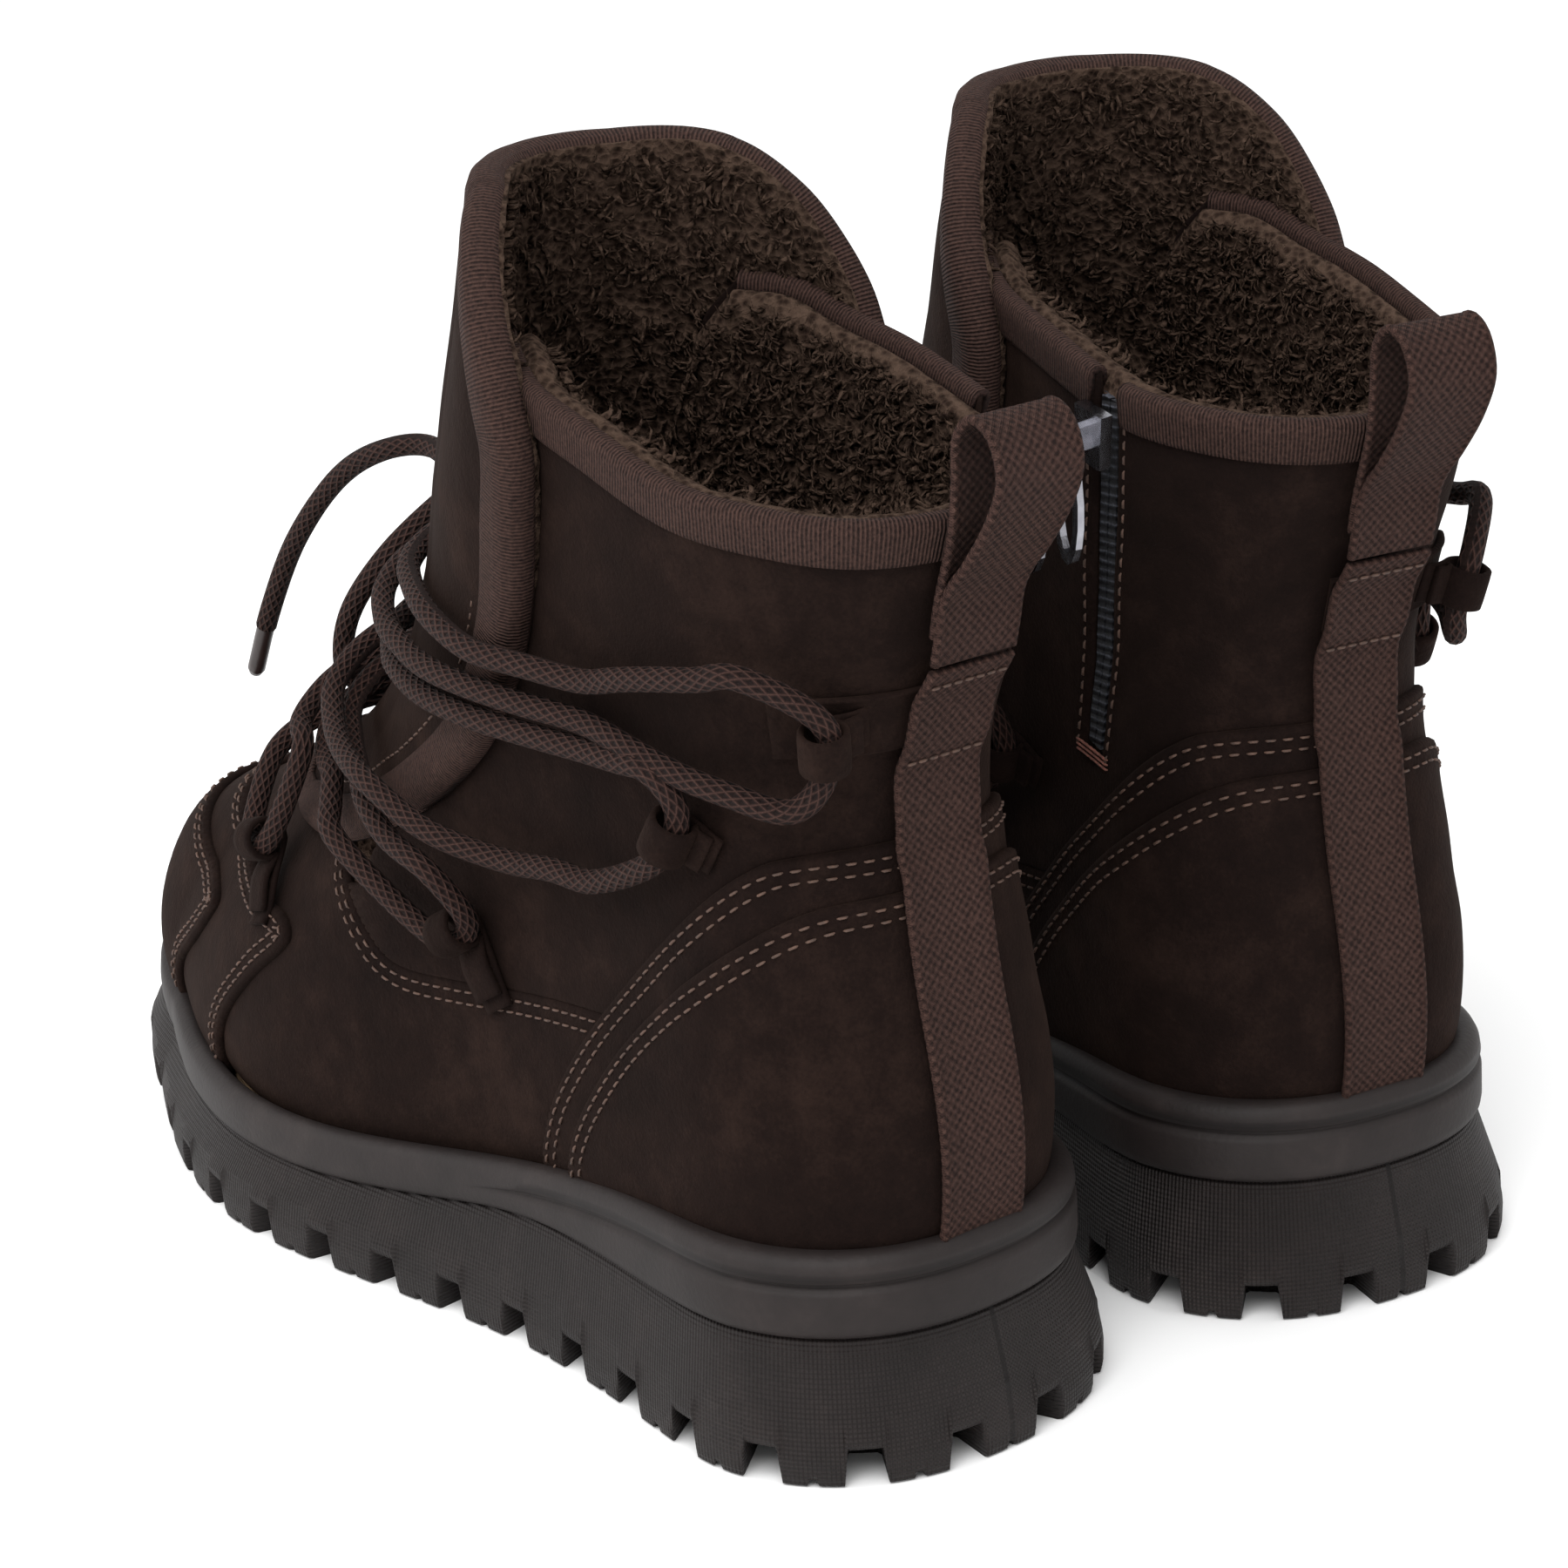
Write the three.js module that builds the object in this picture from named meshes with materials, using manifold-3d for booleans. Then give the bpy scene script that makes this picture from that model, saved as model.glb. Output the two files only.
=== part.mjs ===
// A pair of shearling-lined suede winter boots on lug soles: wrap-around tongue, wrapped round lace, side zip.
// Millimetres, +Z up, toes towards -Y. The pair stands on z = 0 with the origin under the middle of its box.
// Each boot is modelled as the wearer's left one, in its own frame: +X is its outer side and y = 0 is at the
// heel of the upper. The right boot is the same group mirrored in X.
// Places on the upper are given in side view as (y, rise), where rise is the height above the sole's top line.
import * as THREE from "three";
import { mergeVertices } from "three/addons/utils/BufferGeometryUtils.js";
import Module from "manifold-3d";

const wasm = await Module();
wasm.setup();

// Overall sizes.
const soleLength = 285;
const ballWidth = 101;
const heelWidth = 89;
const shaftHeight = 133;
const heelSoleHeight = 43;
const foreSoleHeight = 28;
const toeSpring = 12;
const heelGap = 95;
const toeOut = 5;
// Layers of the upper.
const suede = 1.6;
const overlaySuede = 1.5;
const counterThickness = 1.1;
const liningThickness = 5.5;
const tongueThickness = 2.4;
const flapThickness = 5.6;
const gap = 0.3;
// Sole.
const rimWall = 5;
const cupDepth = 6.5;
const rimBand = 10;
const lugCount = 34;
const lugNotch = 6.4;
const lugDepth = 7;
const lugReach = 11;
const soleFlare = 4.5;
const boardThickness = 2;
const footbedThickness = 6;
const footbedGap = 2;
const shankLength = 95;
const shankWidth = 14;
const shankThickness = 1.6;
// Trim.
const webbingWidth = 19;
const webbingThickness = 1.5;
const bindingWidth = 7;
const bindingThickness = 1;
const laceDiameter = 4.6;
const laceLift = 1.3;
const loopSuede = 1.2;
const loopWidth = 8;
const loopFoot = 6;
const zipTape = 9;
const zipTapeThickness = 1;
const zipSlit = 6;
const zipTeeth = 2.2;
const sliderLength = 11;
const sliderWidth = 8;
const sliderThickness = 2.6;
const pullLength = 24;
const pullWidth = 9;
const pullThickness = 1.4;

const lengthScale = soleLength / 285;
const heightScale = shaftHeight / 133;
const ballScale = ballWidth / 101;
const heelScale = heelWidth / 89;

// A smooth curve through the values at the knots, read at x and held level past both ends.
function smooth(knots, values, x) {
  const last = knots.length - 1;
  if (x <= knots[0]) return values[0];
  if (x >= knots[last]) return values[last];
  let i = 0;
  while (x > knots[i + 1]) i += 1;
  const slope = (j) => {
    const a = Math.max(j - 1, 0);
    const b = Math.min(j + 1, last);
    return (values[b] - values[a]) / (knots[b] - knots[a]);
  };
  const span = knots[i + 1] - knots[i];
  const t = (x - knots[i]) / span;
  const s = 1 - t;
  return (
    values[i] * (1 + 2 * t) * s * s +
    slope(i) * span * t * s * s +
    values[i + 1] * t * t * (3 - 2 * t) -
    slope(i + 1) * span * t * t * s
  );
}

const step = (low, high, x) => THREE.MathUtils.smoothstep(x, low, high);

// Height that the toe springs up from the ground at y.
const toeStart = -215 * lengthScale;
const toeTip = -279 * lengthScale;
function toeLift(y) {
  const reach = THREE.MathUtils.clamp((y - toeStart) / (toeTip - toeStart), 0, 1);
  return toeSpring * reach ** 1.7;
}

// Height of the sole's top line at y.
function soleTop(y) {
  const heel = step(-170 * lengthScale, -30 * lengthScale, y);
  return THREE.MathUtils.lerp(foreSoleHeight, heelSoleHeight, heel) + toeLift(y);
}

// Levels of the upper's outer face, from the sole to the top of the tongue: y and rise of the back and of the
// front, half widths at heel, waist, ball and toe, and the length of the rounded front end.
const levels = [
  [-6, -3.6, -268, -3.6, 32, 30, 40.5, 29, 62],
  [-4, 3, -271, 2, 33, 32, 42, 31, 62],
  [-3, 13, -270, 11, 33.5, 32.5, 42.5, 31, 62],
  [-3.5, 23, -265, 22, 33.5, 32, 41.5, 29, 60],
  [-5, 33, -254, 35, 33, 31, 39, 26.5, 56],
  [-7, 43, -236, 47.5, 32.5, 30, 36, 24.5, 50],
  [-8.5, 53, -210, 59.5, 32, 30, 34.5, 23.5, 43],
  [-9.5, 63, -186, 69.5, 31.5, 31, 33.5, 23.5, 39],
  [-9.5, 73, -164, 82, 31, 32, 32.5, 24.5, 37],
  [-8, 84, -147, 96, 31, 33, 32, 25.5, 36],
  [-4, 97, -134, 114, 32, 34.5, 32.5, 26, 36],
  [0.5, 109, -124, 134, 33, 36, 34, 26.5, 36],
  [5, 121, -116, 153, 34, 37.5, 35.5, 27, 36],
  [9, 133, -109, 171, 35.5, 39, 37, 27.5, 36],
  [12, 145, -103, 189, 36.5, 40, 38, 28, 36],
  [14.5, 155, -99, 200, 37, 40.5, 38.5, 28.5, 36],
];
const topLevel = levels.length - 1;
const levelKnots = levels.map((row, i) => i);
const widthKnots = [0.13, 0.38, 0.66, 0.88];
const backRounding = 36;
const roundness = 2.3;
const toeShift = -5;

const column = (v, i) => smooth(levelKnots, levels.map((row) => row[i]), v);

// A point of the upper's outer face: v runs up the levels, turn runs round from the heel by the outer side.
function facePoint(v, turn) {
  const angle = turn * 2 * Math.PI;
  const share = (1 - Math.cos(angle)) / 2;
  const side = Math.sign(Math.sin(angle));
  const back = column(v, 0) * lengthScale;
  const front = column(v, 2) * lengthScale;
  const y = THREE.MathUtils.lerp(back, front, share);
  const rise = THREE.MathUtils.lerp(column(v, 1), column(v, 3), share) * heightScale;
  const scales = [heelScale, heelScale, ballScale, ballScale];
  const half = smooth(widthKnots, scales.map((scale, i) => column(v, 4 + i) * scale), share);
  const rounding = (distance, radius) => {
    const reach = Math.max(1 - distance / radius, 0);
    return Math.max(1 - reach ** roundness, 0) ** (1 / roundness);
  };
  const closed = rounding(back - y, backRounding) * rounding(y - front, column(v, 8));
  const foot = 1 - step(3, 9, v);
  const shift = toeShift * foot * step(0.6, 1, share);
  return new THREE.Vector3(side * half * closed + shift, y, soleTop(y) + rise);
}

// Outward normal of the face, from small steps along both of its directions.
function faceNormal(v, turn) {
  const dv = 0.02;
  const dt = 0.002;
  const low = Math.max(v - dv, 0);
  const high = Math.min(v + dv, topLevel);
  const up = facePoint(high, turn).sub(facePoint(low, turn));
  const round = facePoint(v, turn + dt).sub(facePoint(v, turn - dt));
  return up.cross(round).normalize();
}

const offsetPoint = (v, turn, offset) =>
  facePoint(v, turn).addScaledVector(faceNormal(v, turn), offset);

// The v and turn of a place (y, rise) on the outer (side 1) or inner (side -1) face of the boot.
function locate(y, rise, side) {
  const wanted = y * lengthScale;
  const shareAt = (v) => {
    const back = column(v, 0) * lengthScale;
    return THREE.MathUtils.clamp((wanted - back) / (column(v, 2) * lengthScale - back), 0, 1);
  };
  let low = 0;
  let high = topLevel;
  for (let i = 0; i < 40; i += 1) {
    const v = (low + high) / 2;
    const reached = THREE.MathUtils.lerp(column(v, 1), column(v, 3), shareAt(v));
    if (reached < rise) low = v;
    else high = v;
  }
  const turn = Math.acos(1 - 2 * shareAt(low)) / (2 * Math.PI);
  return { v: low, turn: side > 0 ? turn : 1 - turn };
}

// A place on the boot at an offset from its outer face, and the outward normal there.
function place(y, rise, side, offset) {
  const { v, turn } = locate(y, rise, side);
  return offsetPoint(v, turn, offset);
}
function normalAt(y, rise, side) {
  const { v, turn } = locate(y, rise, side);
  return faceNormal(v, turn);
}

// Solids and geometries.
function toSolid(geometry) {
  const bare = new THREE.BufferGeometry();
  bare.setAttribute("position", geometry.getAttribute("position"));
  if (geometry.index) bare.setIndex(geometry.index);
  const merged = mergeVertices(bare, 1e-4);
  return new wasm.Manifold(
    new wasm.Mesh({
      numProp: 3,
      vertProperties: new Float32Array(merged.attributes.position.array),
      triVerts: new Uint32Array(merged.index.array),
    }),
  );
}

function toGeometry(solid) {
  const mesh = solid.getMesh();
  const geometry = new THREE.BufferGeometry();
  const positions = new Float32Array(mesh.numVert * 3);
  for (let i = 0; i < mesh.numVert; i += 1) {
    positions.set(mesh.vertProperties.subarray(i * mesh.numProp, i * mesh.numProp + 3), i * 3);
  }
  geometry.setAttribute("position", new THREE.BufferAttribute(positions, 3));
  geometry.setIndex(new THREE.BufferAttribute(new Uint32Array(mesh.triVerts), 1));
  geometry.computeVertexNormals();
  return geometry;
}

function meshOf(points, faces) {
  const geometry = new THREE.BufferGeometry();
  const positions = points.flatMap((p) => [p.x, p.y, p.z]);
  geometry.setAttribute("position", new THREE.Float32BufferAttribute(positions, 3));
  geometry.setIndex(faces);
  return geometry;
}

// A closed band round the boot between two offsets, which are functions of the point's side-view place.
const columns = 20;
const rowCount = 10;
const rowStep = topLevel / rowCount;
function band(inner, outer, lowestRow) {
  const rows = rowCount - lowestRow;
  const points = [];
  const faces = [];
  for (const offset of [outer, inner]) {
    for (let r = 0; r <= rows; r += 1) {
      const v = (lowestRow + r) * rowStep;
      for (let c = 0; c < columns; c += 1) {
        const turn = c / columns;
        points.push(offsetPoint(v, turn, offset(facePoint(v, turn))));
      }
    }
  }
  const at = (layer, r, c) => (layer * (rows + 1) + r) * columns + (c % columns);
  const quad = (a, b, c, d) => faces.push(a, b, c, a, c, d);
  for (let c = 0; c < columns; c += 1) {
    for (let r = 0; r < rows; r += 1) {
      quad(at(0, r, c), at(0, r + 1, c), at(0, r + 1, c + 1), at(0, r, c + 1));
      quad(at(1, r, c), at(1, r, c + 1), at(1, r + 1, c + 1), at(1, r + 1, c));
    }
    quad(at(0, rows, c), at(1, rows, c), at(1, rows, c + 1), at(0, rows, c + 1));
    quad(at(1, 0, c), at(0, 0, c), at(0, 0, c + 1), at(1, 0, c + 1));
  }
  return toSolid(meshOf(points, faces));
}
const liningOut = -3.5;
const layer = (inner, outer) => band(() => inner, () => outer, 0);

// A smooth line through side-view places, as Vector2 points in (y, z).
function line(places, steps = 12) {
  const knots = places.map(([y, rise]) => {
    const at = y * lengthScale;
    return new THREE.Vector2(at, soleTop(at) + rise * heightScale);
  });
  return steps ? new THREE.SplineCurve(knots).getPoints(steps) : knots;
}

// A prism across the boot, from x = low to x = high, over a closed side-view outline.
const far = 90;
function prism(outline, low = -far, high = far) {
  const shape = new THREE.Shape(outline);
  const geometry = new THREE.ExtrudeGeometry(shape, { depth: high - low, bevelEnabled: false });
  const across = new THREE.Matrix4().makeBasis(
    new THREE.Vector3(0, 1, 0),
    new THREE.Vector3(0, 0, 1),
    new THREE.Vector3(1, 0, 0),
  );
  geometry.applyMatrix4(across).translate(low, 0, 0);
  return toSolid(geometry);
}
const corner = (y, z) => new THREE.Vector2(y, z);

// A stack of rings with as many points each, closed by caps laddered from side to side.
function stack(rings) {
  const count = rings[0].length;
  const faces = [];
  const quad = (a, b, c, d) => faces.push(a, b, c, a, c, d);
  for (let r = 0; r + 1 < rings.length; r += 1) {
    for (let c = 0; c < count; c += 1) {
      const next = (c + 1) % count;
      quad(r * count + c, (r + 1) * count + c, (r + 1) * count + next, r * count + next);
    }
  }
  const cap = (start, flip) => {
    for (let i = 0; i < count / 2; i += 1) {
      const a = start + i;
      const b = start + i + 1;
      const c = start + ((count - i - 1) % count);
      const d = start + ((count - i) % count);
      const pieces = [[a, b, c]];
      if (i) pieces.push([a, c, d]);
      for (const [p, q, s] of pieces) {
        if (q !== s) faces.push(...(flip ? [p, s, q] : [p, q, s]));
      }
    }
  };
  cap(0, false);
  cap((rings.length - 1) * count, true);
  return toSolid(meshOf(rings.flat(), faces));
}

// A cord through the points, with a ring of the given number of sides at each of them.
function cord(points, diameter, sides = 6) {
  const rings = [];
  const across = new THREE.Vector3(0.3, 0.2, 1);
  points.forEach((p, i) => {
    const before = points[Math.max(i - 1, 0)];
    const after = points[Math.min(i + 1, points.length - 1)];
    const along = after.clone().sub(p).normalize().add(p.clone().sub(before).normalize()).normalize();
    across.addScaledVector(along, -across.dot(along)).normalize();
    const third = along.clone().cross(across);
    const ring = [];
    for (let k = 0; k < sides; k += 1) {
      const angle = (-k / sides) * 2 * Math.PI;
      const reach = diameter / 2;
      ring.push(
        p.clone().addScaledVector(across, Math.cos(angle) * reach).addScaledVector(third, Math.sin(angle) * reach),
      );
    }
    rings.push(ring);
  });
  return stack(rings);
}
const bent = (points, steps) => new THREE.CatmullRomCurve3(points, false, "centripetal").getSpacedPoints(steps);

// Outline of the tread at the ground, drawn in by inset, with its height given by y.
const soleBack = 6;
const soleKnots = [0.1, 0.34, 0.66, 0.88];
const soleHalf = [heelWidth / 2, (heelWidth / 2) * 0.9, ballWidth / 2, (ballWidth / 2) * 0.78];
const soleColumns = 40;
function soleRing(inset, height) {
  const back = soleBack - inset;
  const front = toeTip + inset;
  const points = [];
  for (let c = 0; c < soleColumns; c += 1) {
    const angle = (c / soleColumns) * 2 * Math.PI;
    const share = (1 - Math.cos(angle)) / 2;
    const y = THREE.MathUtils.lerp(back, front, share);
    const half = smooth(soleKnots, soleHalf, share) - inset;
    const rounding = (distance, radius) => {
      const reach = Math.max(1 - distance / radius, 0);
      return Math.max(1 - reach ** roundness, 0) ** (1 / roundness);
    };
    const closed = rounding(back - y, 44) * rounding(y - front, 68);
    const shift = toeShift * step(0.6, 1, share);
    points.push(new THREE.Vector3(Math.sign(Math.sin(angle)) * half * closed + shift, y, height(y)));
  }
  return points;
}

const treadTop = (y) => soleTop(y) - rimBand - 6 * step(-110 * lengthScale, -40 * lengthScale, y);
const cupFloor = (y) => soleTop(y) - cupDepth;

// Each maker returns the solids of one group of nodes of the left boot, by name.
function makeSole() {
  const tread = stack([
    soleRing(1.5, (y) => toeLift(y)),
    soleRing(0, (y) => toeLift(y) + 5),
    soleRing(soleFlare, (y) => treadTop(y)),
  ]);
  const rim = soleRing(0, (y) => toeLift(y));
  let outsole = tread;
  const lengths = [0];
  rim.forEach((p, i) => {
    lengths.push(lengths[i] + p.distanceTo(rim[(i + 1) % rim.length]));
  });
  const pitch = lengths[rim.length] / lugCount;
  for (let i = 0; i < lugCount; i += 1) {
    const along = (i + 0.5) * pitch;
    let k = 0;
    while (lengths[k + 1] < along) k += 1;
    const start = rim[k];
    const end = rim[(k + 1) % rim.length];
    const share = (along - lengths[k]) / (lengths[k + 1] - lengths[k]);
    const middle = start.clone().lerp(end, share);
    const along2 = Math.atan2(end.y - start.y, end.x - start.x);
    const box = new THREE.BoxGeometry(lugNotch, 2 * lugReach, 2 * lugDepth);
    box.rotateZ(along2);
    box.translate(middle.x, middle.y, middle.z);
    outsole = outsole.subtract(toSolid(box));
  }

  const wall = (v, offset, height) => {
    const points = [];
    for (let c = 0; c < soleColumns; c += 1) {
      const p = offsetPoint(v, c / soleColumns, offset);
      points.push(new THREE.Vector3(p.x, p.y, height(p.y)));
    }
    return points;
  };
  let midsole = stack([
    soleRing(soleFlare, (y) => treadTop(y) + gap),
    soleRing(soleFlare - 0.5, (y) => treadTop(y) + 3),
    soleRing(soleFlare, (y) => soleTop(y) - 1),
    soleRing(soleFlare + 1, (y) => soleTop(y)),
    wall(0.7, 2 * gap, soleTop),
    wall(0.7, 2 * gap, cupFloor),
  ]);
  const shankLine = (lift, extra) => {
    const points = [];
    for (let i = 0; i <= 6; i += 1) {
      const y = -28 * lengthScale + extra - ((shankLength + 2 * extra) * i) / 6;
      points.push(corner(y, cupFloor(y) + lift));
    }
    return points;
  };
  const shankAt = (grow) => {
    const low = shankLine(-gap - shankThickness - grow, grow);
    const high = shankLine(-gap + 4 * grow, grow);
    return prism([...low, ...high.reverse()], -shankWidth / 2 - grow, shankWidth / 2 + grow);
  };
  midsole = midsole.subtract(shankAt(gap));
  const shank = shankAt(0);

  const plate = (offset, low, high) =>
    stack([low, high].map((height) => wall(0, offset, (y) => cupFloor(y) + height)));
  const boardTop = gap + boardThickness;
  return {
    outsole,
    midsole,
    shank,
    insole_board: plate(-gap, gap, boardTop),
    footbed: plate(liningOut - liningThickness - footbedGap, boardTop + gap, boardTop + gap + footbedThickness),
  };
}

// Side-view lines of the panels, as (y, rise).
const collarLine = [[22, 132], [8, 133], [-8, 135], [-30, 139], [-52, 147], [-68, 153], [-80, 160], [-90, 163]];
const throatLine = [[-90, 163], [-98, 155], [-101, 140], [-105, 120], [-113, 100], [-124, 84], [-138, 66], [-146, 52]];
const vampLine = [[-44, 34], [-60, 33], [-90, 34], [-118, 35], [-134, 37], [-143, 43], [-150, 52], [-158, 68], [-166, 95]];
const lowOverlayLine = [[-94, -10], [-91, 2], [-83, 17], [-67, 34], [-44, 53], [-27, 67], [-18, 71], [-4, 72], [20, 70]];
const highOverlayLine = [[-84, -10], [-79, 4], [-71, 16], [-56, 31], [-36, 47], [-19, 60], [-10, 63], [2, 63], [20, 61]];
const toeOverlayLine = [[-205, -10], [-200, 8], [-184, 24], [-172, 33], [-169, 37], [-174, 40], [-190, 40], [-210, 44], [-232, 52], [-246, 60]];
const toeCapLine = [[-240, -10], [-236, 7], [-222, 20], [-213, 28], [-211, 31], [-216, 33], [-232, 36], [-250, 41], [-262, 46]];
const tongueLine = [
  [-200, 70], [-196, 62], [-186, 57], [-170, 57], [-152, 60], [-135, 65], [-117, 72], [-104, 79], [-92, 88],
  [-82, 101], [-75, 115], [-70, 128], [-66, 142], [-68, 153], [-73, 165], [-79, 177], [-88, 187], [-101, 191], [-116, 190], [-130, 186],
];
const zipTop = [-30, 137];
const zipBottom = [-50, 62];
const hingePlace = [-125, 128];

const beyond = 400;
const deep = -30;
const seam = 0.4;

const collar = line(collarLine);
const throat = line(throatLine);
const vampEdge = line(vampLine);
const bridge = line([[-158, 68], [-166, 95]], 0);
// The line moved to its left by a distance.
const inwards = (points, distance) =>
  points.map((p, i) => {
    const before = points[Math.max(i - 1, 0)];
    const after = points[Math.min(i + 1, points.length - 1)];
    const along = after.clone().sub(before).normalize();
    return corner(p.x - along.y * distance, p.y + along.x * distance);
  });
const shifted = (points, dy, dz) => points.map((p) => corner(p.x + dy, p.y + dz));

// Side-view outlines of the panels.
const outlines = {
  quarter() {
    const foot = vampEdge.filter((p) => p.x > throat[throat.length - 1].x + seam).reverse();
    const back = vampEdge[0].x + seam;
    return [
      ...collar,
      ...throat.slice(1),
      ...shifted(foot, 0, seam),
      corner(back, vampEdge[0].y),
      corner(back, deep),
      corner(60, deep),
      corner(60, collar[0].y),
    ];
  },
  vamp() {
    const last = vampEdge[vampEdge.length - 1];
    return [...vampEdge, corner(-beyond, last.y), corner(-beyond, deep), corner(vampEdge[0].x, deep)];
  },
  lining(drop) {
    const top = shifted(collar, 0, -drop);
    return [
      ...top,
      ...throat.slice(2),
      ...bridge,
      corner(-beyond, bridge[1].y),
      corner(-beyond, deep),
      corner(60, deep),
      corner(60, top[0].y),
    ];
  },
  behind(places, inset = 0) {
    const edge = shifted(line(places), inset, -inset);
    return [...edge, corner(60, edge[edge.length - 1].y), corner(60, deep), corner(edge[0].x, deep)];
  },
  before(places) {
    const edge = line(places);
    const last = edge[edge.length - 1];
    return [...edge, corner(-beyond, last.y), corner(-beyond, deep), corner(edge[0].x, deep)];
  },
  tongue(inset = 0) {
    const edge = inwards(line(tongueLine, 20), inset);
    const top = edge[edge.length - 1];
    return [...edge, corner(-beyond, top.y), corner(-beyond, edge[0].y)];
  },
};

// A strip of the inner side along the zip, widened by the given amounts behind and before its line.
function zipStrip(before, behind, below, above) {
  const [top, bottom] = line([zipTop, zipBottom], 0);
  const along = top.clone().sub(bottom).normalize();
  const across = corner(along.y, -along.x);
  const low = bottom.clone().addScaledVector(along, -below);
  const high = top.clone().addScaledVector(along, above);
  const shape = [
    low.clone().addScaledVector(across, -before),
    low.clone().addScaledVector(across, behind),
    high.clone().addScaledVector(across, behind),
    high.clone().addScaledVector(across, -before),
  ];
  return prism(shape, -far, 0);
}

// A suede loop that holds the lace: a ring on a tail, placed at (y, rise) and pointing along (dy, drise).
const laceHole = laceDiameter / 2 + 1.1;
const ringRadius = laceHole + loopSuede;
function loopFrame({ at, side, towards, lift, tail }) {
  const length = Math.hypot(...towards);
  const [dy, drise] = towards.map((value) => value / length);
  const y = at[0] - (dy * tail) / 2;
  const rise = at[1] - (drise * tail) / 2;
  const n = normalAt(y, rise, side);
  const here = place(y, rise, side, 0);
  const d = place(y + 2 * dy, rise + 2 * drise, side, 0).sub(here);
  d.addScaledVector(n, -d.dot(n)).normalize();
  const w = d.clone().cross(n);
  const centre = here.addScaledVector(d, tail / 2).addScaledVector(n, lift + ringRadius);
  return { centre, d, n, w };
}
function laceLoop(loop, seat = gap) {
  const { centre, d, n, w } = loopFrame(loop);
  const { tail } = loop;
  const shape = new THREE.Shape();
  shape.moveTo(-tail, -ringRadius);
  shape.lineTo(0, -ringRadius);
  shape.absarc(0, 0, ringRadius, -Math.PI / 2, Math.PI * 0.95, false);
  shape.lineTo(-tail, -ringRadius + 2 * loopSuede);
  shape.closePath();
  const hole = new THREE.Path();
  hole.absarc(0, 0, laceHole, 0, 2 * Math.PI, true);
  shape.holes.push(hole);
  const geometry = new THREE.ExtrudeGeometry(shape, { depth: loopWidth, bevelEnabled: false, curveSegments: 5 });
  geometry.translate(0, 0, -loopWidth / 2);
  const frame = new THREE.Matrix4().makeBasis(d, n, w).setPosition(centre);
  const foot = new THREE.BoxGeometry(4, loopFoot, loopWidth);
  foot.translate(-tail + 2, -ringRadius + loopSuede - loopFoot / 2, 0);
  return toSolid(geometry.applyMatrix4(frame))
    .add(toSolid(foot.applyMatrix4(frame)))
    .subtract(layer(-3 * loopFoot, seat));
}

const loops = {
  vampOuter: { at: [-184, 51], side: 1, towards: [-2, 9], lift: 2.2, tail: 17 },
  vampInner: { at: [-184, 51], side: -1, towards: [-2, 9], lift: 2.2, tail: 17 },
  throatOuter: { at: [-110, 46], side: 1, towards: [-4, 8], lift: 1, tail: 17 },
  throatInner: { at: [-110, 46], side: -1, towards: [-4, 8], lift: 1, tail: 17 },
  ankleOuter: { at: [-38, 74], side: 1, towards: [-8, 5], lift: 1, tail: 8 },
  ankleInner: { at: [-78, 58], side: -1, towards: [-8, 5], lift: 1, tail: 8 },
  rear: { at: [-13, 96], side: 1, towards: [-8, 0], lift: 2.5, tail: 8 },
};

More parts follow.
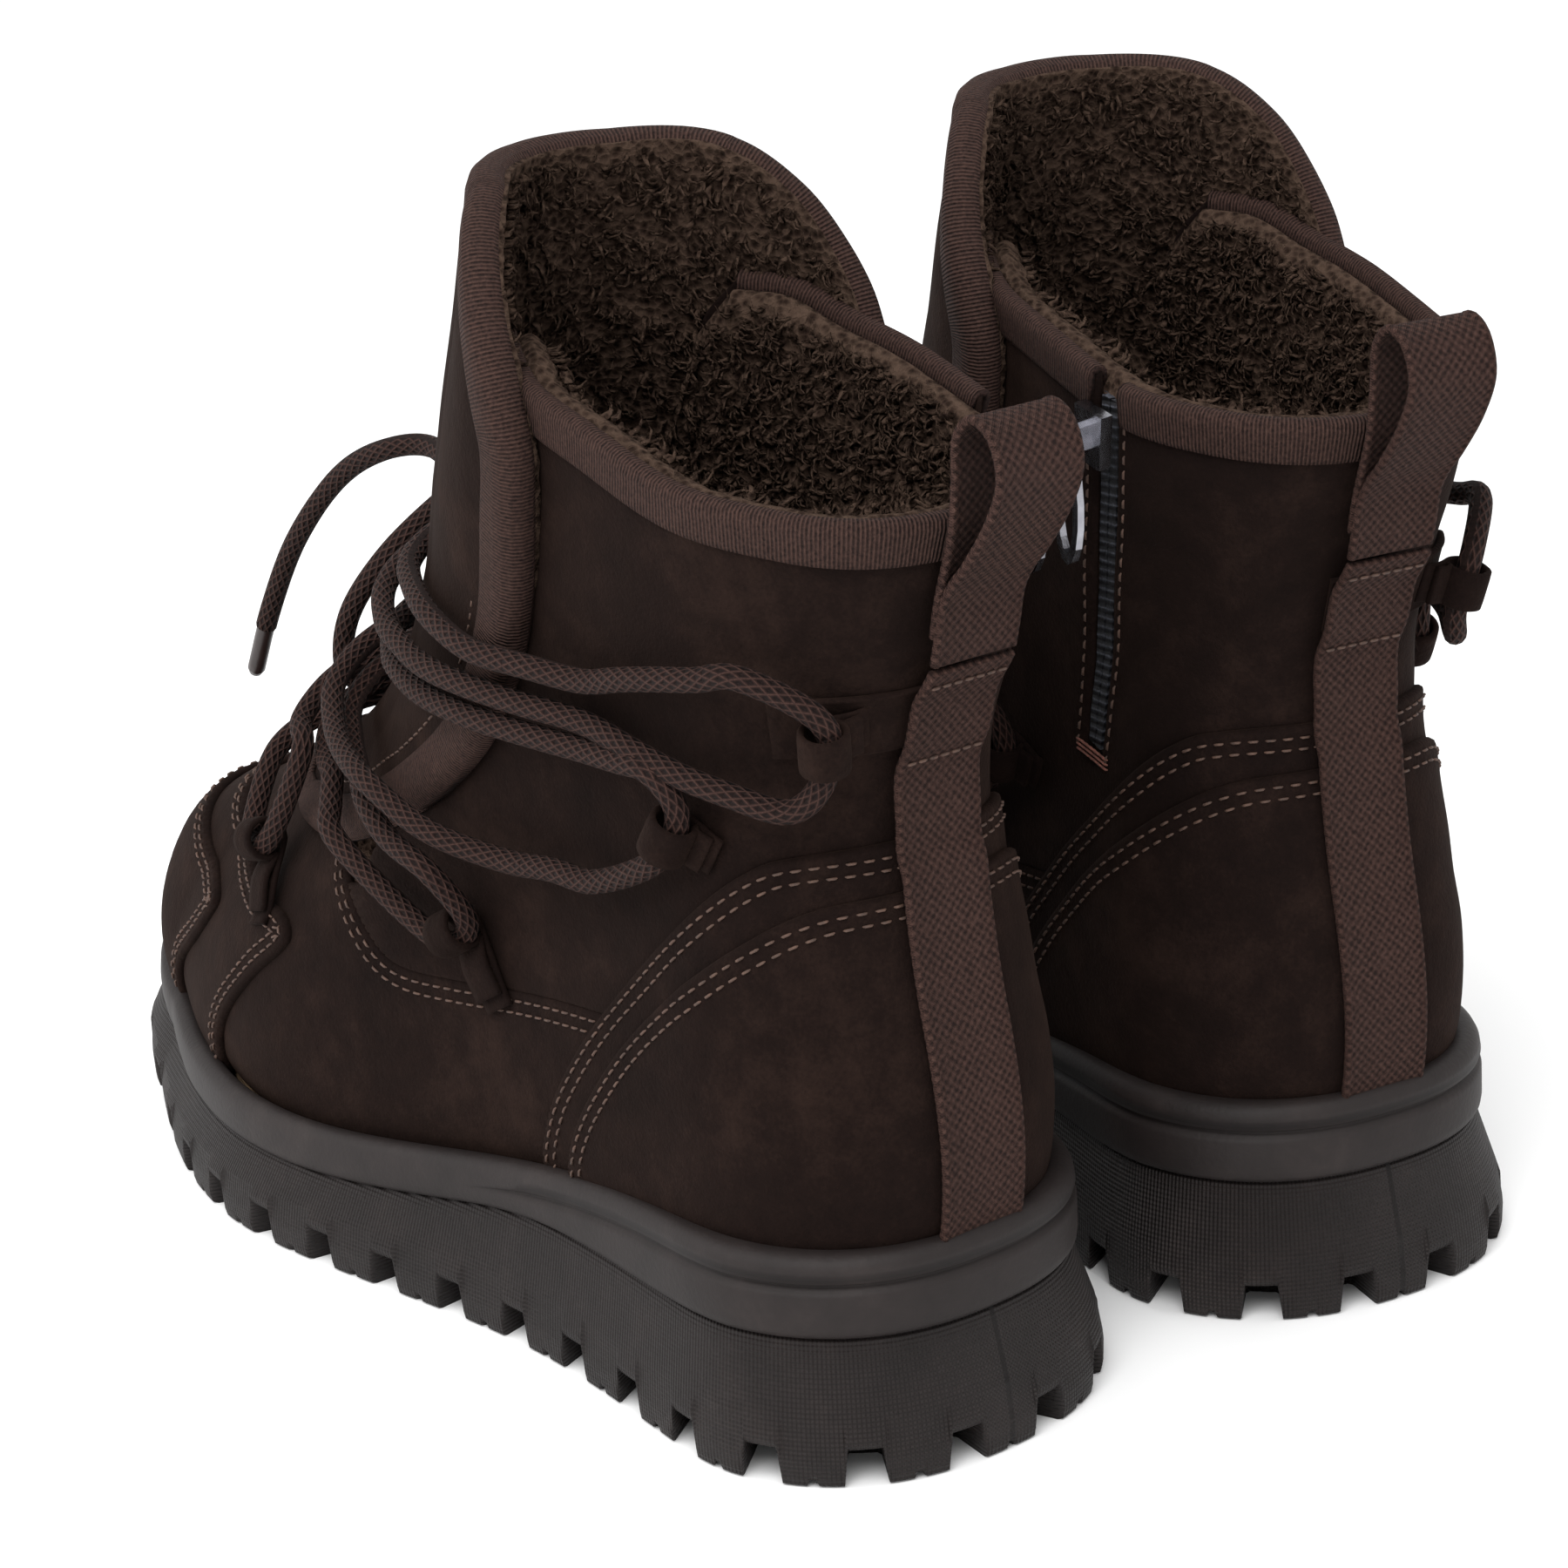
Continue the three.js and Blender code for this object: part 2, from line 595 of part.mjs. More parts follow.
function makeUpper() {
  const base = layer(-suede, 0);
  const quarter = base.intersect(prism(outlines.quarter()));
  const zipGap = zipStrip(zipSlit / 2, zipSlit / 2, 0, 40);
  const zipSplit = zipStrip(beyond, 0, 120, 120);
  const innerHalf = prism([corner(60, deep), corner(60, beyond), corner(-beyond, beyond), corner(-beyond, deep)], -far, -seam / 2);
  const outerHalf = prism([corner(60, deep), corner(60, beyond), corner(-beyond, beyond), corner(-beyond, deep)], seam / 2, far);
  const inner = quarter.intersect(innerHalf).subtract(zipGap);
  const splitGap = zipStrip(seam / 2, seam / 2, 60, 60);
  let innerFront = inner.intersect(zipSplit).subtract(splitGap);
  const innerRear = inner.subtract(zipSplit).subtract(splitGap);

  const bindingStrip = prism([...collar, ...shifted(collar, 0, -bindingWidth).reverse()]);
  const bindingGap = zipStrip(zipSlit / 2 + 1, zipSlit / 2 + 1, 0, 40);
  const boundAt = (inner) => layer(inner, gap + bindingThickness).intersect(bindingStrip).subtract(bindingGap);
  innerFront = innerFront.add(boundAt(-suede / 2).intersect(zipSplit));
  const collarBinding = boundAt(gap).subtract(zipSplit);

  const onQuarter = layer(-3 * loopFoot, gap).intersect(prism(shifted(outlines.quarter(), 0, -gap)));
  const throatLoop = (loop) => laceLoop(loop, -suede / 2).subtract(onQuarter);
  const vamp = base
    .intersect(prism(outlines.vamp()))
    .add(throatLoop(loops.throatOuter))
    .add(throatLoop(loops.throatInner));

  const rimClear = (solid) => {
    const lowest = [];
    for (let i = 0; i <= 30; i += 1) {
      const y = 40 - (i * 340) / 30;
      lowest.push(corner(y * lengthScale, soleTop(y * lengthScale) + gap));
    }
    return solid.intersect(prism([...lowest, corner(-beyond, beyond), corner(60, beyond)]));
  };
  const over = [gap, gap + overlaySuede];
  const over2 = [2 * gap + overlaySuede, 2 * gap + 2 * overlaySuede];
  const lowOverlay = rimClear(layer(...over).intersect(prism(outlines.behind(lowOverlayLine))));
  const highOverlay = rimClear(layer(...over2).intersect(prism(outlines.behind(highOverlayLine))));
  const toeOverlay = rimClear(layer(...over).intersect(prism(outlines.before(toeOverlayLine))))
    .add(laceLoop(loops.vampOuter))
    .add(laceLoop(loops.vampInner));
  const toeCap = rimClear(layer(...over2).intersect(prism(outlines.before(toeCapLine))));

  const lining = layer(liningOut - liningThickness, liningOut)
    .intersect(prism(outlines.lining(1)))
    .subtract(zipStrip(zipSlit / 2, zipSlit / 2, -4, 40));
  const counterOut = -suede - gap;
  const counter = layer(counterOut - counterThickness, counterOut).intersect(
    prism([corner(-64, deep), corner(-60, 80), corner(-40, 96), corner(60, 96), corner(60, deep)]),
  );
  return {
    lining,
    heel_counter: counter,
    vamp,
    toe_overlay: toeOverlay,
    toe_cap: toeCap,
    quarter_outer: quarter.intersect(outerHalf),
    quarter_inner_front: innerFront,
    quarter_inner_rear: innerRear,
    heel_overlay_low: lowOverlay,
    heel_overlay_high: highOverlay,
    collar_binding: collarBinding,
  };
}

// Offsets of the tongue's faces: it is thicker and stands clear of the collar's binding higher up.
const tongueRow = 2;
const riseOf = (p) => (p.z - soleTop(p.y)) / heightScale;
const tongueInner = (rise) => gap + (bindingThickness + gap) * step(112, 134, rise);
const tongueOuter = (rise) =>
  tongueInner(rise) + THREE.MathUtils.lerp(tongueThickness, flapThickness, step(60, 112, rise));

// The tongue wraps round the front, outside the quarters: a base held by the lace and a flap that folds.
function makeTongue() {
  const inner = (p) => tongueInner(riseOf(p));
  const outer = (p) => tongueOuter(riseOf(p));
  const sheet = band(inner, outer, tongueRow);
  const whole = sheet.intersect(prism(outlines.tongue()));
  const [hinge] = line([hingePlace], 0);
  const above = [corner(-beyond, hinge.y + seam), corner(60, hinge.y + seam), corner(60, beyond), corner(-beyond, beyond)];
  const under = [corner(-beyond, hinge.y - seam), corner(60, hinge.y - seam), corner(60, deep), corner(-beyond, deep)];
  const flap = whole.intersect(prism(above));
  const rim = band(
    (p) => gap + outer(p),
    (p) => gap + outer(p) + bindingThickness,
    tongueRow,
  );
  const bound = rim
    .intersect(prism(outlines.tongue()))
    .subtract(prism(outlines.tongue(bindingWidth)))
    .intersect(prism(above));
  return { tongue_base: whole.intersect(prism(under)), tongue_flap: flap, tongue_binding: bound };
}

function makeHeelTape() {
  const aboveLow = 2 * gap + overlaySuede;
  const aboveHigh = aboveLow + overlaySuede + gap;
  const aboveStrap = 3 * gap + loopSuede;
  const tape = (p) => smooth([69, 85, 104, 112], [aboveHigh, aboveLow + gap, aboveStrap, 3 * gap], riseOf(p));
  const strip = prism(
    [corner(-30, deep), corner(-30, beyond), corner(60, beyond), corner(60, deep)],
    -webbingWidth / 2,
    webbingWidth / 2,
  );
  const cut = line([[-30, 1], [40, 1], [40, 107], [-30, 107]], 0);
  const webbing = band(tape, (p) => tape(p) + webbingThickness, 0).intersect(strip).intersect(prism(cut));

  const outer = line([
    [3.0, 110.2], [6.4, 109.4], [10.2, 119.5], [15.5, 124.5], [22.2, 133.5], [25.4, 142], [23.2, 150],
    [17.8, 152.6], [13.0, 148.6], [12.2, 140.5], [11.2, 133.5], [9.4, 127.5], [5.6, 119.5],
  ], 0);
  const inner = line([
    [9.6, 123.2], [14.0, 126.0], [20.5, 134.4], [23.6, 142], [21.7, 148.6],
    [17.9, 150.8], [14.6, 147.6], [13.8, 140.5], [12.8, 133], [10.9, 126.9],
  ], 0);
  const half = webbingWidth / 2;
  const pull = prism(outer, -half, half).subtract(prism(inner, -half - 1, half + 1));

  const strapLine = line([[-18, 90], [40, 90], [40, 102], [-18, 102]], 0);
  const strap = layer(gap, gap + loopSuede)
    .intersect(prism(strapLine, -webbingWidth / 2, far))
    .add(laceLoop(loops.rear));
  return {
    heel_webbing: webbing,
    pull_loop: pull,
    heel_lace_strap: strap,
    ankle_loop_outer: laceLoop(loops.ankleOuter),
    ankle_loop_inner: laceLoop(loops.ankleInner),
  };
}

function makeZip() {
  const tapeOut = -suede - gap;
  const tape = layer(tapeOut - zipTapeThickness, tapeOut);
  const teeth = layer(tapeOut - zipTapeThickness, -gap);
  const half = seam / 2;
  const front = tape.intersect(zipStrip(zipTape, -half, 6, -2)).add(teeth.intersect(zipStrip(zipTeeth, -half, -1, -2)));
  const rear = tape.intersect(zipStrip(-half, zipTape, 6, -2)).add(teeth.intersect(zipStrip(-half, zipTeeth, -1, -2)));

  const n = normalAt(...zipTop, -1);
  const high = place(...zipTop, -1, 0);
  const low = place(...zipBottom, -1, 0);
  const along = high.clone().sub(low).normalize();
  const out = n.clone().addScaledVector(along, -n.dot(along)).normalize();
  const side = along.clone().cross(out);
  const frame = new THREE.Matrix4().makeBasis(side, along, out);
  const sliderLift = 1.6;
  const centre = high.clone().addScaledVector(along, -sliderLength / 2 - 3).addScaledVector(out, sliderLift + sliderThickness / 2);
  const body = new THREE.BoxGeometry(sliderWidth, sliderLength, sliderThickness);
  const lug = new THREE.BoxGeometry(2, 5, 3.4).translate(0, 0.5, sliderThickness / 2 + 1.2);
  const place3 = (geometry) => toSolid(geometry.applyMatrix4(frame.clone().setPosition(centre)));
  const slider = place3(body).add(place3(lug));

  const tab = new THREE.Shape();
  tab.absellipse(0, -pullLength / 2 + 1, pullWidth / 2, pullLength / 2, 0, 2 * Math.PI, false);
  const opening = new THREE.Path();
  opening.absellipse(0, -pullLength / 2 + 1, pullWidth / 2 - 1.8, pullLength / 2 - 2.2, 0, 2 * Math.PI, true);
  tab.holes.push(opening);
  const ring = new THREE.ExtrudeGeometry(tab, { depth: pullThickness, bevelEnabled: false, curveSegments: 8 });
  const level = new THREE.Matrix4().makeBasis(
    new THREE.Vector3(0, -1, 0),
    new THREE.Vector3(0, 0, 1),
    new THREE.Vector3(-1, 0, 0),
  );
  const eye = centre.clone().addScaledVector(out, sliderThickness / 2 + 4.2);
  const pull = toSolid(ring.applyMatrix4(level.setPosition(eye)));
  return { zip_stringer_front: front, zip_stringer_rear: rear, zip_slider: slider, zip_pull: pull };
}

// The lace: one run through the loops, held all the way, and the free bow in front of the tongue.
const through = (loop, way) => {
  const { centre, w } = loopFrame(loop);
  const reach = loopWidth / 2 + 1.5;
  return [reach, -reach].map((d) => centre.clone().addScaledVector(w, d * way));
};

// A place given by its turn round the boot and its rise.
function around({ turn, rise, offset }) {
  const share = (1 - Math.cos(turn * 2 * Math.PI)) / 2;
  let low = 0;
  let high = topLevel;
  for (let i = 0; i < 40; i += 1) {
    const v = (low + high) / 2;
    if (THREE.MathUtils.lerp(column(v, 1), column(v, 3), share) < rise) low = v;
    else high = v;
  }
  return offsetPoint(low, turn, offset);
}

// The path over stops on the boot and points in the air: stops next to each other are joined round the boot.
function lay(stops) {
  const path = [];
  stops.forEach((stop, i) => {
    if (stop.isVector3) {
      path.push(stop);
      return;
    }
    path.push(around(stop));
    const next = stops[i + 1];
    if (!next || next.isVector3) return;
    const pieces = Math.ceil(Math.abs(next.turn - stop.turn) / 0.04);
    for (let k = 1; k < pieces; k += 1) {
      const between = (key) => THREE.MathUtils.lerp(stop[key], next[key], k / pieces);
      path.push(around({ turn: between("turn"), rise: between("rise"), offset: between("offset") }));
    }
  });
  return path;
}

function makeLace() {
  const lift = laceDiameter / 2 + laceLift;
  const stop = (y, rise, side, offset) => ({ turn: locate(y, rise, side).turn, rise, offset });
  const on = (side, list) => list.map(([y, rise, extra = 0]) => stop(y, rise, side, tongueOuter(rise) + lift + extra));
  const skin = (side, list) => list.map(([y, rise, extra = 0]) => stop(y, rise, side, lift + extra));
  const over = (rise, extra = 0) => ({ turn: 0.5, rise, offset: tongueOuter(rise) + lift + extra });
  const run = [
    over(117),
    ...on(1, [[-104, 110], [-84, 105]]),
    ...skin(1, [[-56, 101, 1], [-34, 105, 2], [-17, 109, 4]]),
    ...through(loops.rear, 1),
    ...skin(1, [[-17, 83, 4], [-34, 87, 2], [-58, 93, 1]]),
    ...on(1, [[-90, 98]]),
    over(109, 6),
    ...on(-1, [[-108, 94, 2]]),
    ...skin(-1, [[-88, 78, 3]]),
    ...through(loops.ankleInner, -1),
    ...skin(-1, [[-96, 52, 2]]),
    ...on(-1, [[-124, 68, 1]]),
    over(86, 1),
    ...on(1, [[-138, 73, 1]]),
    ...skin(1, [[-108, 62, 6]]),
    ...through(loops.throatOuter, 1),
    ...on(1, [[-142, 60, 1], [-156, 68, 1]]),
    over(76, 1),
    ...on(-1, [[-166, 67, 1]]),
    ...through(loops.vampInner, -1),
    ...skin(-1, [[-197, 58, 4]]),
    over(67, 1),
    ...skin(1, [[-197, 58, 4]]),
    ...through(loops.vampOuter, -1),
    ...on(1, [[-166, 67, 6]]),
    over(76, 7),
    ...on(-1, [[-156, 68, 6], [-142, 60, 5]]),
    ...through(loops.throatInner, 1),
    ...skin(-1, [[-108, 62, 8]]),
    ...on(-1, [[-138, 73, 6]]),
    over(86, 7),
    ...on(1, [[-122, 74, 5]]),
    ...skin(1, [[-90, 64, 2], [-60, 62, 2]]),
    ...through(loops.ankleOuter, -1),
    ...skin(1, [[-39, 87, 3], [-58, 88, 2]]),
    ...on(1, [[-92, 92]]),
    over(101),
  ];
  const bowPlace = around(over(117, 7.5));
  const ahead = new THREE.Vector3(-14, -20, -2);
  const from = (list) => [bowPlace, ...list.map(([x, y, z]) => new THREE.Vector3(x, y, z).add(ahead))];
  const tails = [
    [[6, -152, 160], [9, -166, 158], [11, -182, 150], [12, -200, 134], [12, -214, 116], [12, -224, 99]],
    [[-6, -150, 154], [-14, -158, 146], [-22, -164, 134], [-28, -168, 120], [-31, -170, 108]],
  ];
  const bows = [
    [[7, -148, 150], [14, -160, 138], [18, -171, 124], [17, -177, 111], [10, -179, 105], [3, -175, 111], [1, -163, 128], [1, -150, 144]],
    [[-8, -148, 160], [-22, -162, 162], [-35, -178, 157], [-43, -190, 146], [-38, -192, 135], [-28, -184, 133], [-15, -166, 142], [-6, -152, 149]],
  ];
  let bow = toSolid(new THREE.SphereGeometry(laceDiameter, 8, 6).translate(...bowPlace.toArray()));
  for (const tail of tails) bow = bow.add(cord(bent(from(tail), 8), laceDiameter));
  for (const loop of bows) {
    const back = bowPlace.clone().add(new THREE.Vector3(0, 0, -2));
    bow = bow.add(cord(bent([...from(loop), back], 14), laceDiameter));
  }
  return { lace_run: cord(lay(run), laceDiameter), lace_bow: bow };
}

const finishes = {
  suede: { color: 0x2a1e1b, roughness: 0.95, metalness: 0 },
  tape: { color: 0x3e2e2b, roughness: 0.85, metalness: 0 },
  lace: { color: 0x3a2a28, roughness: 0.85, metalness: 0 },
  rubber: { color: 0x37322f, roughness: 0.7, metalness: 0 },
  fleece: { color: 0x2b2520, roughness: 1, metalness: 0 },
  board: { color: 0x8a7355, roughness: 0.9, metalness: 0 },
  steel: { color: 0x9a9ca0, roughness: 0.4, metalness: 1 },
  nickel: { color: 0x2c2c30, roughness: 0.25, metalness: 1 },
};
const finishOf = {
  outsole: "rubber", midsole: "rubber", shank: "steel", insole_board: "board", footbed: "fleece",
  lining: "fleece", heel_counter: "board", tongue_binding: "tape", collar_binding: "tape",
  heel_webbing: "tape", pull_loop: "tape", zip_stringer_front: "tape", zip_stringer_rear: "tape",
  zip_slider: "nickel", zip_pull: "nickel", lace_run: "lace", lace_bow: "lace",
};

const solids = { ...makeSole(), ...makeUpper(), ...makeTongue(), ...makeHeelTape(), ...makeZip(), ...makeLace() };

function makeBoot(name) {
  const boot = new THREE.Group();
  for (const [piece, solid] of Object.entries(solids)) {
    const finish = finishes[finishOf[piece] ?? "suede"];
    const mesh = new THREE.Mesh(toGeometry(solid), new THREE.MeshStandardMaterial(finish));
    mesh.name = `${name}_${piece}`;
    boot.add(mesh);
  }
  return boot;
}

// The boots stand side by side with their toes turned out.
const pair = new THREE.Group();
const left = makeBoot("left");
const right = makeBoot("right");
const turnOut = THREE.MathUtils.degToRad(toeOut);
left.rotation.z = turnOut;
const box = new THREE.Box3().setFromObject(left, true);
const standY = -(box.min.y + box.max.y) / 2;
left.position.set(heelGap / 2, standY, 0);
const mirror = new THREE.Group();
mirror.scale.x = -1;
mirror.add(right);
right.position.copy(left.position);
right.rotation.z = turnOut;
pair.add(left, mirror);

export default pair;
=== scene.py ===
import math

import bpy
import numpy as np
from mathutils import Matrix, Vector, kdtree
from mathutils.geometry import delaunay_2d_cdt


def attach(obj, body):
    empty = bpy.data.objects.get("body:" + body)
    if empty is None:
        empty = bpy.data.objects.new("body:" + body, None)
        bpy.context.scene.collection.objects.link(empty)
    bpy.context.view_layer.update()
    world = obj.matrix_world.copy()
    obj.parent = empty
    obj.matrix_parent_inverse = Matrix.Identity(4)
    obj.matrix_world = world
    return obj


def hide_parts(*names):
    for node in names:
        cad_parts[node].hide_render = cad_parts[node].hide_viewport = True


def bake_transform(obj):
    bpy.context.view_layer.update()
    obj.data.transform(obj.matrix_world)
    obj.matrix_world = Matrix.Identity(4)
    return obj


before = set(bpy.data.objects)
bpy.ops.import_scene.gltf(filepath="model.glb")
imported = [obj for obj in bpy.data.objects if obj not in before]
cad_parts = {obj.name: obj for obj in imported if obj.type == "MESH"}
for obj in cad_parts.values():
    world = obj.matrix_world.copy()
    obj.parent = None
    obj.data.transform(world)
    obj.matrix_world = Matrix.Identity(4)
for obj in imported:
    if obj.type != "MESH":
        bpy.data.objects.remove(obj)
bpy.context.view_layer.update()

# Everything is made as the left boot in its own frame, in millimetres (+X outer side, toes towards -Y, y = 0 at
# the heel of the upper), then placed, and copied in mirror image for the right boot.
TURN_OUT = math.radians(5)
STAND = (47.5, 126.12, 0)
LEFT = Matrix.Translation(Vector(STAND)) @ Matrix.Rotation(TURN_OUT, 4, "Z")
GAP = 0.3  # clearance between the tongue and what it lies on

CAMERA_EYE = (412, 493, 340)
CAMERA_AIM = (-60, -100, 110)
CAMERA_ROLL = math.radians(-3.2)
CAMERA_LENS = 89.9
CAMERA_SHIFT = (-0.052, -0.065)


def linked(name, data):
    """A new object for the data, in the scene."""
    obj = bpy.data.objects.new(name, data)
    bpy.context.scene.collection.objects.link(obj)
    return obj


def camera():
    data = bpy.data.cameras.new("camera")
    cam = linked("camera", data)
    eye, aim = (LEFT @ Vector(place) / 1000 for place in (CAMERA_EYE, CAMERA_AIM))
    look = (aim - eye).to_track_quat("-Z", "Y").to_matrix().to_4x4()
    cam.matrix_world = Matrix.Translation(eye) @ look @ Matrix.Rotation(CAMERA_ROLL, 4, "Z")
    data.sensor_width = 36
    data.lens = CAMERA_LENS
    data.shift_x, data.shift_y = CAMERA_SHIFT
    data.clip_end = 50
    bpy.context.scene.camera = cam


camera()

# ---------------------------------------------------------------------------------------------------------------
# The upper's surface, as in the CAD: rows of y and rise at back and front, half widths, and front rounding.
LEVELS = np.array([
    [-6, -3.6, -268, -3.6, 32, 30, 40.5, 29, 62],
    [-4, 3, -271, 2, 33, 32, 42, 31, 62],
    [-3, 13, -270, 11, 33.5, 32.5, 42.5, 31, 62],
    [-3.5, 23, -265, 22, 33.5, 32, 41.5, 29, 60],
    [-5, 33, -254, 35, 33, 31, 39, 26.5, 56],
    [-7, 43, -236, 47.5, 32.5, 30, 36, 24.5, 50],
    [-8.5, 53, -210, 59.5, 32, 30, 34.5, 23.5, 43],
    [-9.5, 63, -186, 69.5, 31.5, 31, 33.5, 23.5, 39],
    [-9.5, 73, -164, 82, 31, 32, 32.5, 24.5, 37],
    [-8, 84, -147, 96, 31, 33, 32, 25.5, 36],
    [-4, 97, -134, 114, 32, 34.5, 32.5, 26, 36],
    [0.5, 109, -124, 134, 33, 36, 34, 26.5, 36],
    [5, 121, -116, 153, 34, 37.5, 35.5, 27, 36],
    [9, 133, -109, 171, 35.5, 39, 37, 27.5, 36],
    [12, 145, -103, 189, 36.5, 40, 38, 28, 36],
    [14.5, 155, -99, 200, 37, 40.5, 38.5, 28.5, 36],
], dtype=float)
TOP = len(LEVELS) - 1
KNOTS = np.arange(len(LEVELS), dtype=float)


ROUNDNESS = 2.3
HALF_KNOTS = np.array([0.13, 0.38, 0.66, 0.88])


def curve(knots, at, x):
    """A smooth curve, as in the CAD, through at(k), the value at knot k, for an array x."""
    last = len(knots) - 1
    x = np.clip(x, knots[0], knots[-1])
    i = np.clip(np.searchsorted(knots, x, side="left") - 1, 0, last - 1)

    def slope(j):
        before, after = np.maximum(j - 1, 0), np.minimum(j + 1, last)
        return (at(after) - at(before)) / (knots[after] - knots[before])

    span = knots[i + 1] - knots[i]
    t = (x - knots[i]) / span
    s = 1 - t
    return (
        at(i) * (1 + 2 * t) * s * s
        + slope(i) * span * t * s * s
        + at(i + 1) * t * t * (3 - 2 * t)
        - slope(i + 1) * span * t * t * s
    )


def smooth(knots, values, x):
    values = np.asarray(values, float)
    return curve(np.asarray(knots, float), lambda k: values[k], np.asarray(x, float))


def rounding(distance, radius):
    """How far an outline has closed at a distance from its end: 0 at the end, 1 from the radius on."""
    reach = np.maximum(1 - distance / radius, 0)
    return np.maximum(1 - reach**ROUNDNESS, 0) ** (1 / ROUNDNESS)


def step(low, high, x):
    t = np.clip((np.asarray(x, float) - low) / (high - low), 0, 1)
    return t * t * (3 - 2 * t)


def toe_lift(y):
    return 12 * np.clip((np.asarray(y, float) + 215) / -64, 0, 1) ** 1.7


def sole_top(y):
    return 28 + 15 * step(-170, -30, y) + toe_lift(y)


def column(v, i):
    return smooth(KNOTS, LEVELS[:, i], v)


def face(v, turn):
    """Points of the upper's surface; v counts the rows of LEVELS, turn runs from the heel by the outer side."""
    v, turn = np.broadcast_arrays(np.asarray(v, float), np.asarray(turn, float))
    angle = turn * 2 * math.pi
    share = (1 - np.cos(angle)) / 2
    back, front = column(v, 0), column(v, 2)
    y = back + (front - back) * share
    rise = column(v, 1) + (column(v, 3) - column(v, 1)) * share
    rows = np.stack([column(v, 4 + k) for k in range(4)])
    half = curve(HALF_KNOTS, lambda k: np.take_along_axis(rows, k[None], 0)[0], share)
    closed = rounding(back - y, 36.0) * rounding(y - front, column(v, 8))
    shift = -5 * (1 - step(3, 9, v)) * step(0.6, 1, share)
    return np.stack([np.sign(np.sin(angle)) * half * closed + shift, y, sole_top(y) + rise], -1)


def normal(v, turn):
    v = np.asarray(v, float)
    up = face(np.minimum(v + 0.03, TOP), turn) - face(np.maximum(v - 0.03, 0), turn)
    around = face(v, np.asarray(turn) + 0.004) - face(v, np.asarray(turn) - 0.004)
    n = np.cross(up, around)
    return n / np.maximum(np.linalg.norm(n, axis=-1, keepdims=True), 1e-9)


def skin(uv, offset):
    """Points at an offset from the surface; uv rows are (turn, v)."""
    uv = np.asarray(uv, float)
    return face(uv[:, 1], uv[:, 0]) + normal(uv[:, 1], uv[:, 0]) * np.reshape(offset, (-1, 1))


def locate(places, side=1):
    """(turn, v) of side-view places (y, rise)."""
    places = np.asarray(places, float).reshape(-1, 2)
    y, rise = places[:, 0], places[:, 1]

    def share_at(v):
        back = column(v, 0)
        return np.clip((y - back) / (column(v, 2) - back), 0, 1)

    low, high = np.zeros(len(y)), np.full(len(y), float(TOP))
    for _ in range(40):
        v = (low + high) / 2
        reached = column(v, 1) + (column(v, 3) - column(v, 1)) * share_at(v)
        under = reached < rise
        low, high = np.where(under, v, low), np.where(under, high, v)
    turn = np.arccos(1 - 2 * share_at(low)) / (2 * math.pi)
    return np.stack([turn if side > 0 else 1 - turn, low], -1)


def spline(places, spacing=1.5):
    """A Catmull-Rom line through places, sampled at about the spacing."""
    p = np.asarray(places, float)
    ends = np.vstack([2 * p[0] - p[1], p, 2 * p[-1] - p[-2]])
    out = []
    for a, b, c, d in zip(ends[:-3], ends[1:-2], ends[2:-1], ends[3:]):
        n = max(int(np.linalg.norm(c - b) / spacing), 1)
        t = np.arange(n)[:, None] / n
        out.append(0.5 * (2 * b + (c - a) * t + (2 * a - 5 * b + 4 * c - d) * t**2 + (3 * b - a - 3 * c + d) * t**3))
    return np.vstack(out + [p[-1:]])


def length_of(path):
    """The length along a path at each of its points."""
    return np.concatenate([[0], np.cumsum(np.linalg.norm(np.diff(path, axis=0), axis=1))])


def tangents(path):
    t = np.gradient(path, axis=0)
    return t / np.maximum(np.linalg.norm(t, axis=1, keepdims=True), 1e-9)


def evenly(values, length, spacing):
    """The values at even steps of a length that is known at each of them."""
    n = max(int(round(length[-1] / spacing)), 1)
    at = np.linspace(0, length[-1], n + 1)
    return np.stack([np.interp(at, length, values[:, k]) for k in range(values.shape[1])], -1)


def resample(points, spacing):
    p = np.asarray(points, float)
    return evenly(p, length_of(p), spacing)


def resample_uv(uv, spacing):
    """Even spacing along the surface for a line of (turn, v)."""
    p = skin(uv, 0)
    keep = np.concatenate([[True], np.linalg.norm(np.diff(p, axis=0), axis=1) > 1e-4])
    return evenly(np.asarray(uv)[keep], length_of(p[keep]), spacing)


def inset(uv, distance):
    """The line moved on the surface to its left by a distance in mm (seen from outside)."""
    uv = np.asarray(uv, float)
    n = normal(uv[:, 1], uv[:, 0])
    b = np.cross(n, tangents(skin(uv, 0))) * np.reshape(distance, (-1, 1))
    eu, ev = 0.002, 0.03
    pu = (skin(uv + [eu, 0], 0) - skin(uv - [eu, 0], 0)) / (2 * eu)
    above, below = np.minimum(uv[:, 1] + ev, TOP), np.maximum(uv[:, 1] - ev, 0)
    pv = skin(np.stack([uv[:, 0], above], -1), 0) - skin(np.stack([uv[:, 0], below], -1), 0)
    pv /= (above - below)[:, None]
    uu, vv, w = (pu * pu).sum(1), (pv * pv).sum(1), (pu * pv).sum(1)
    bu, bv = (b * pu).sum(1), (b * pv).sum(1)
    det = np.maximum(uu * vv - w * w, 1e-6)
    return uv + np.stack([(bu * vv - bv * w) / det, (bv * uu - bu * w) / det], -1)


def in_place(points):
    """Points of the boot's own frame, in metres in the shared frame, for the left boot."""
    return (np.c_[points, np.ones(len(points))] @ np.array(LEFT).T)[:, :3] / 1000


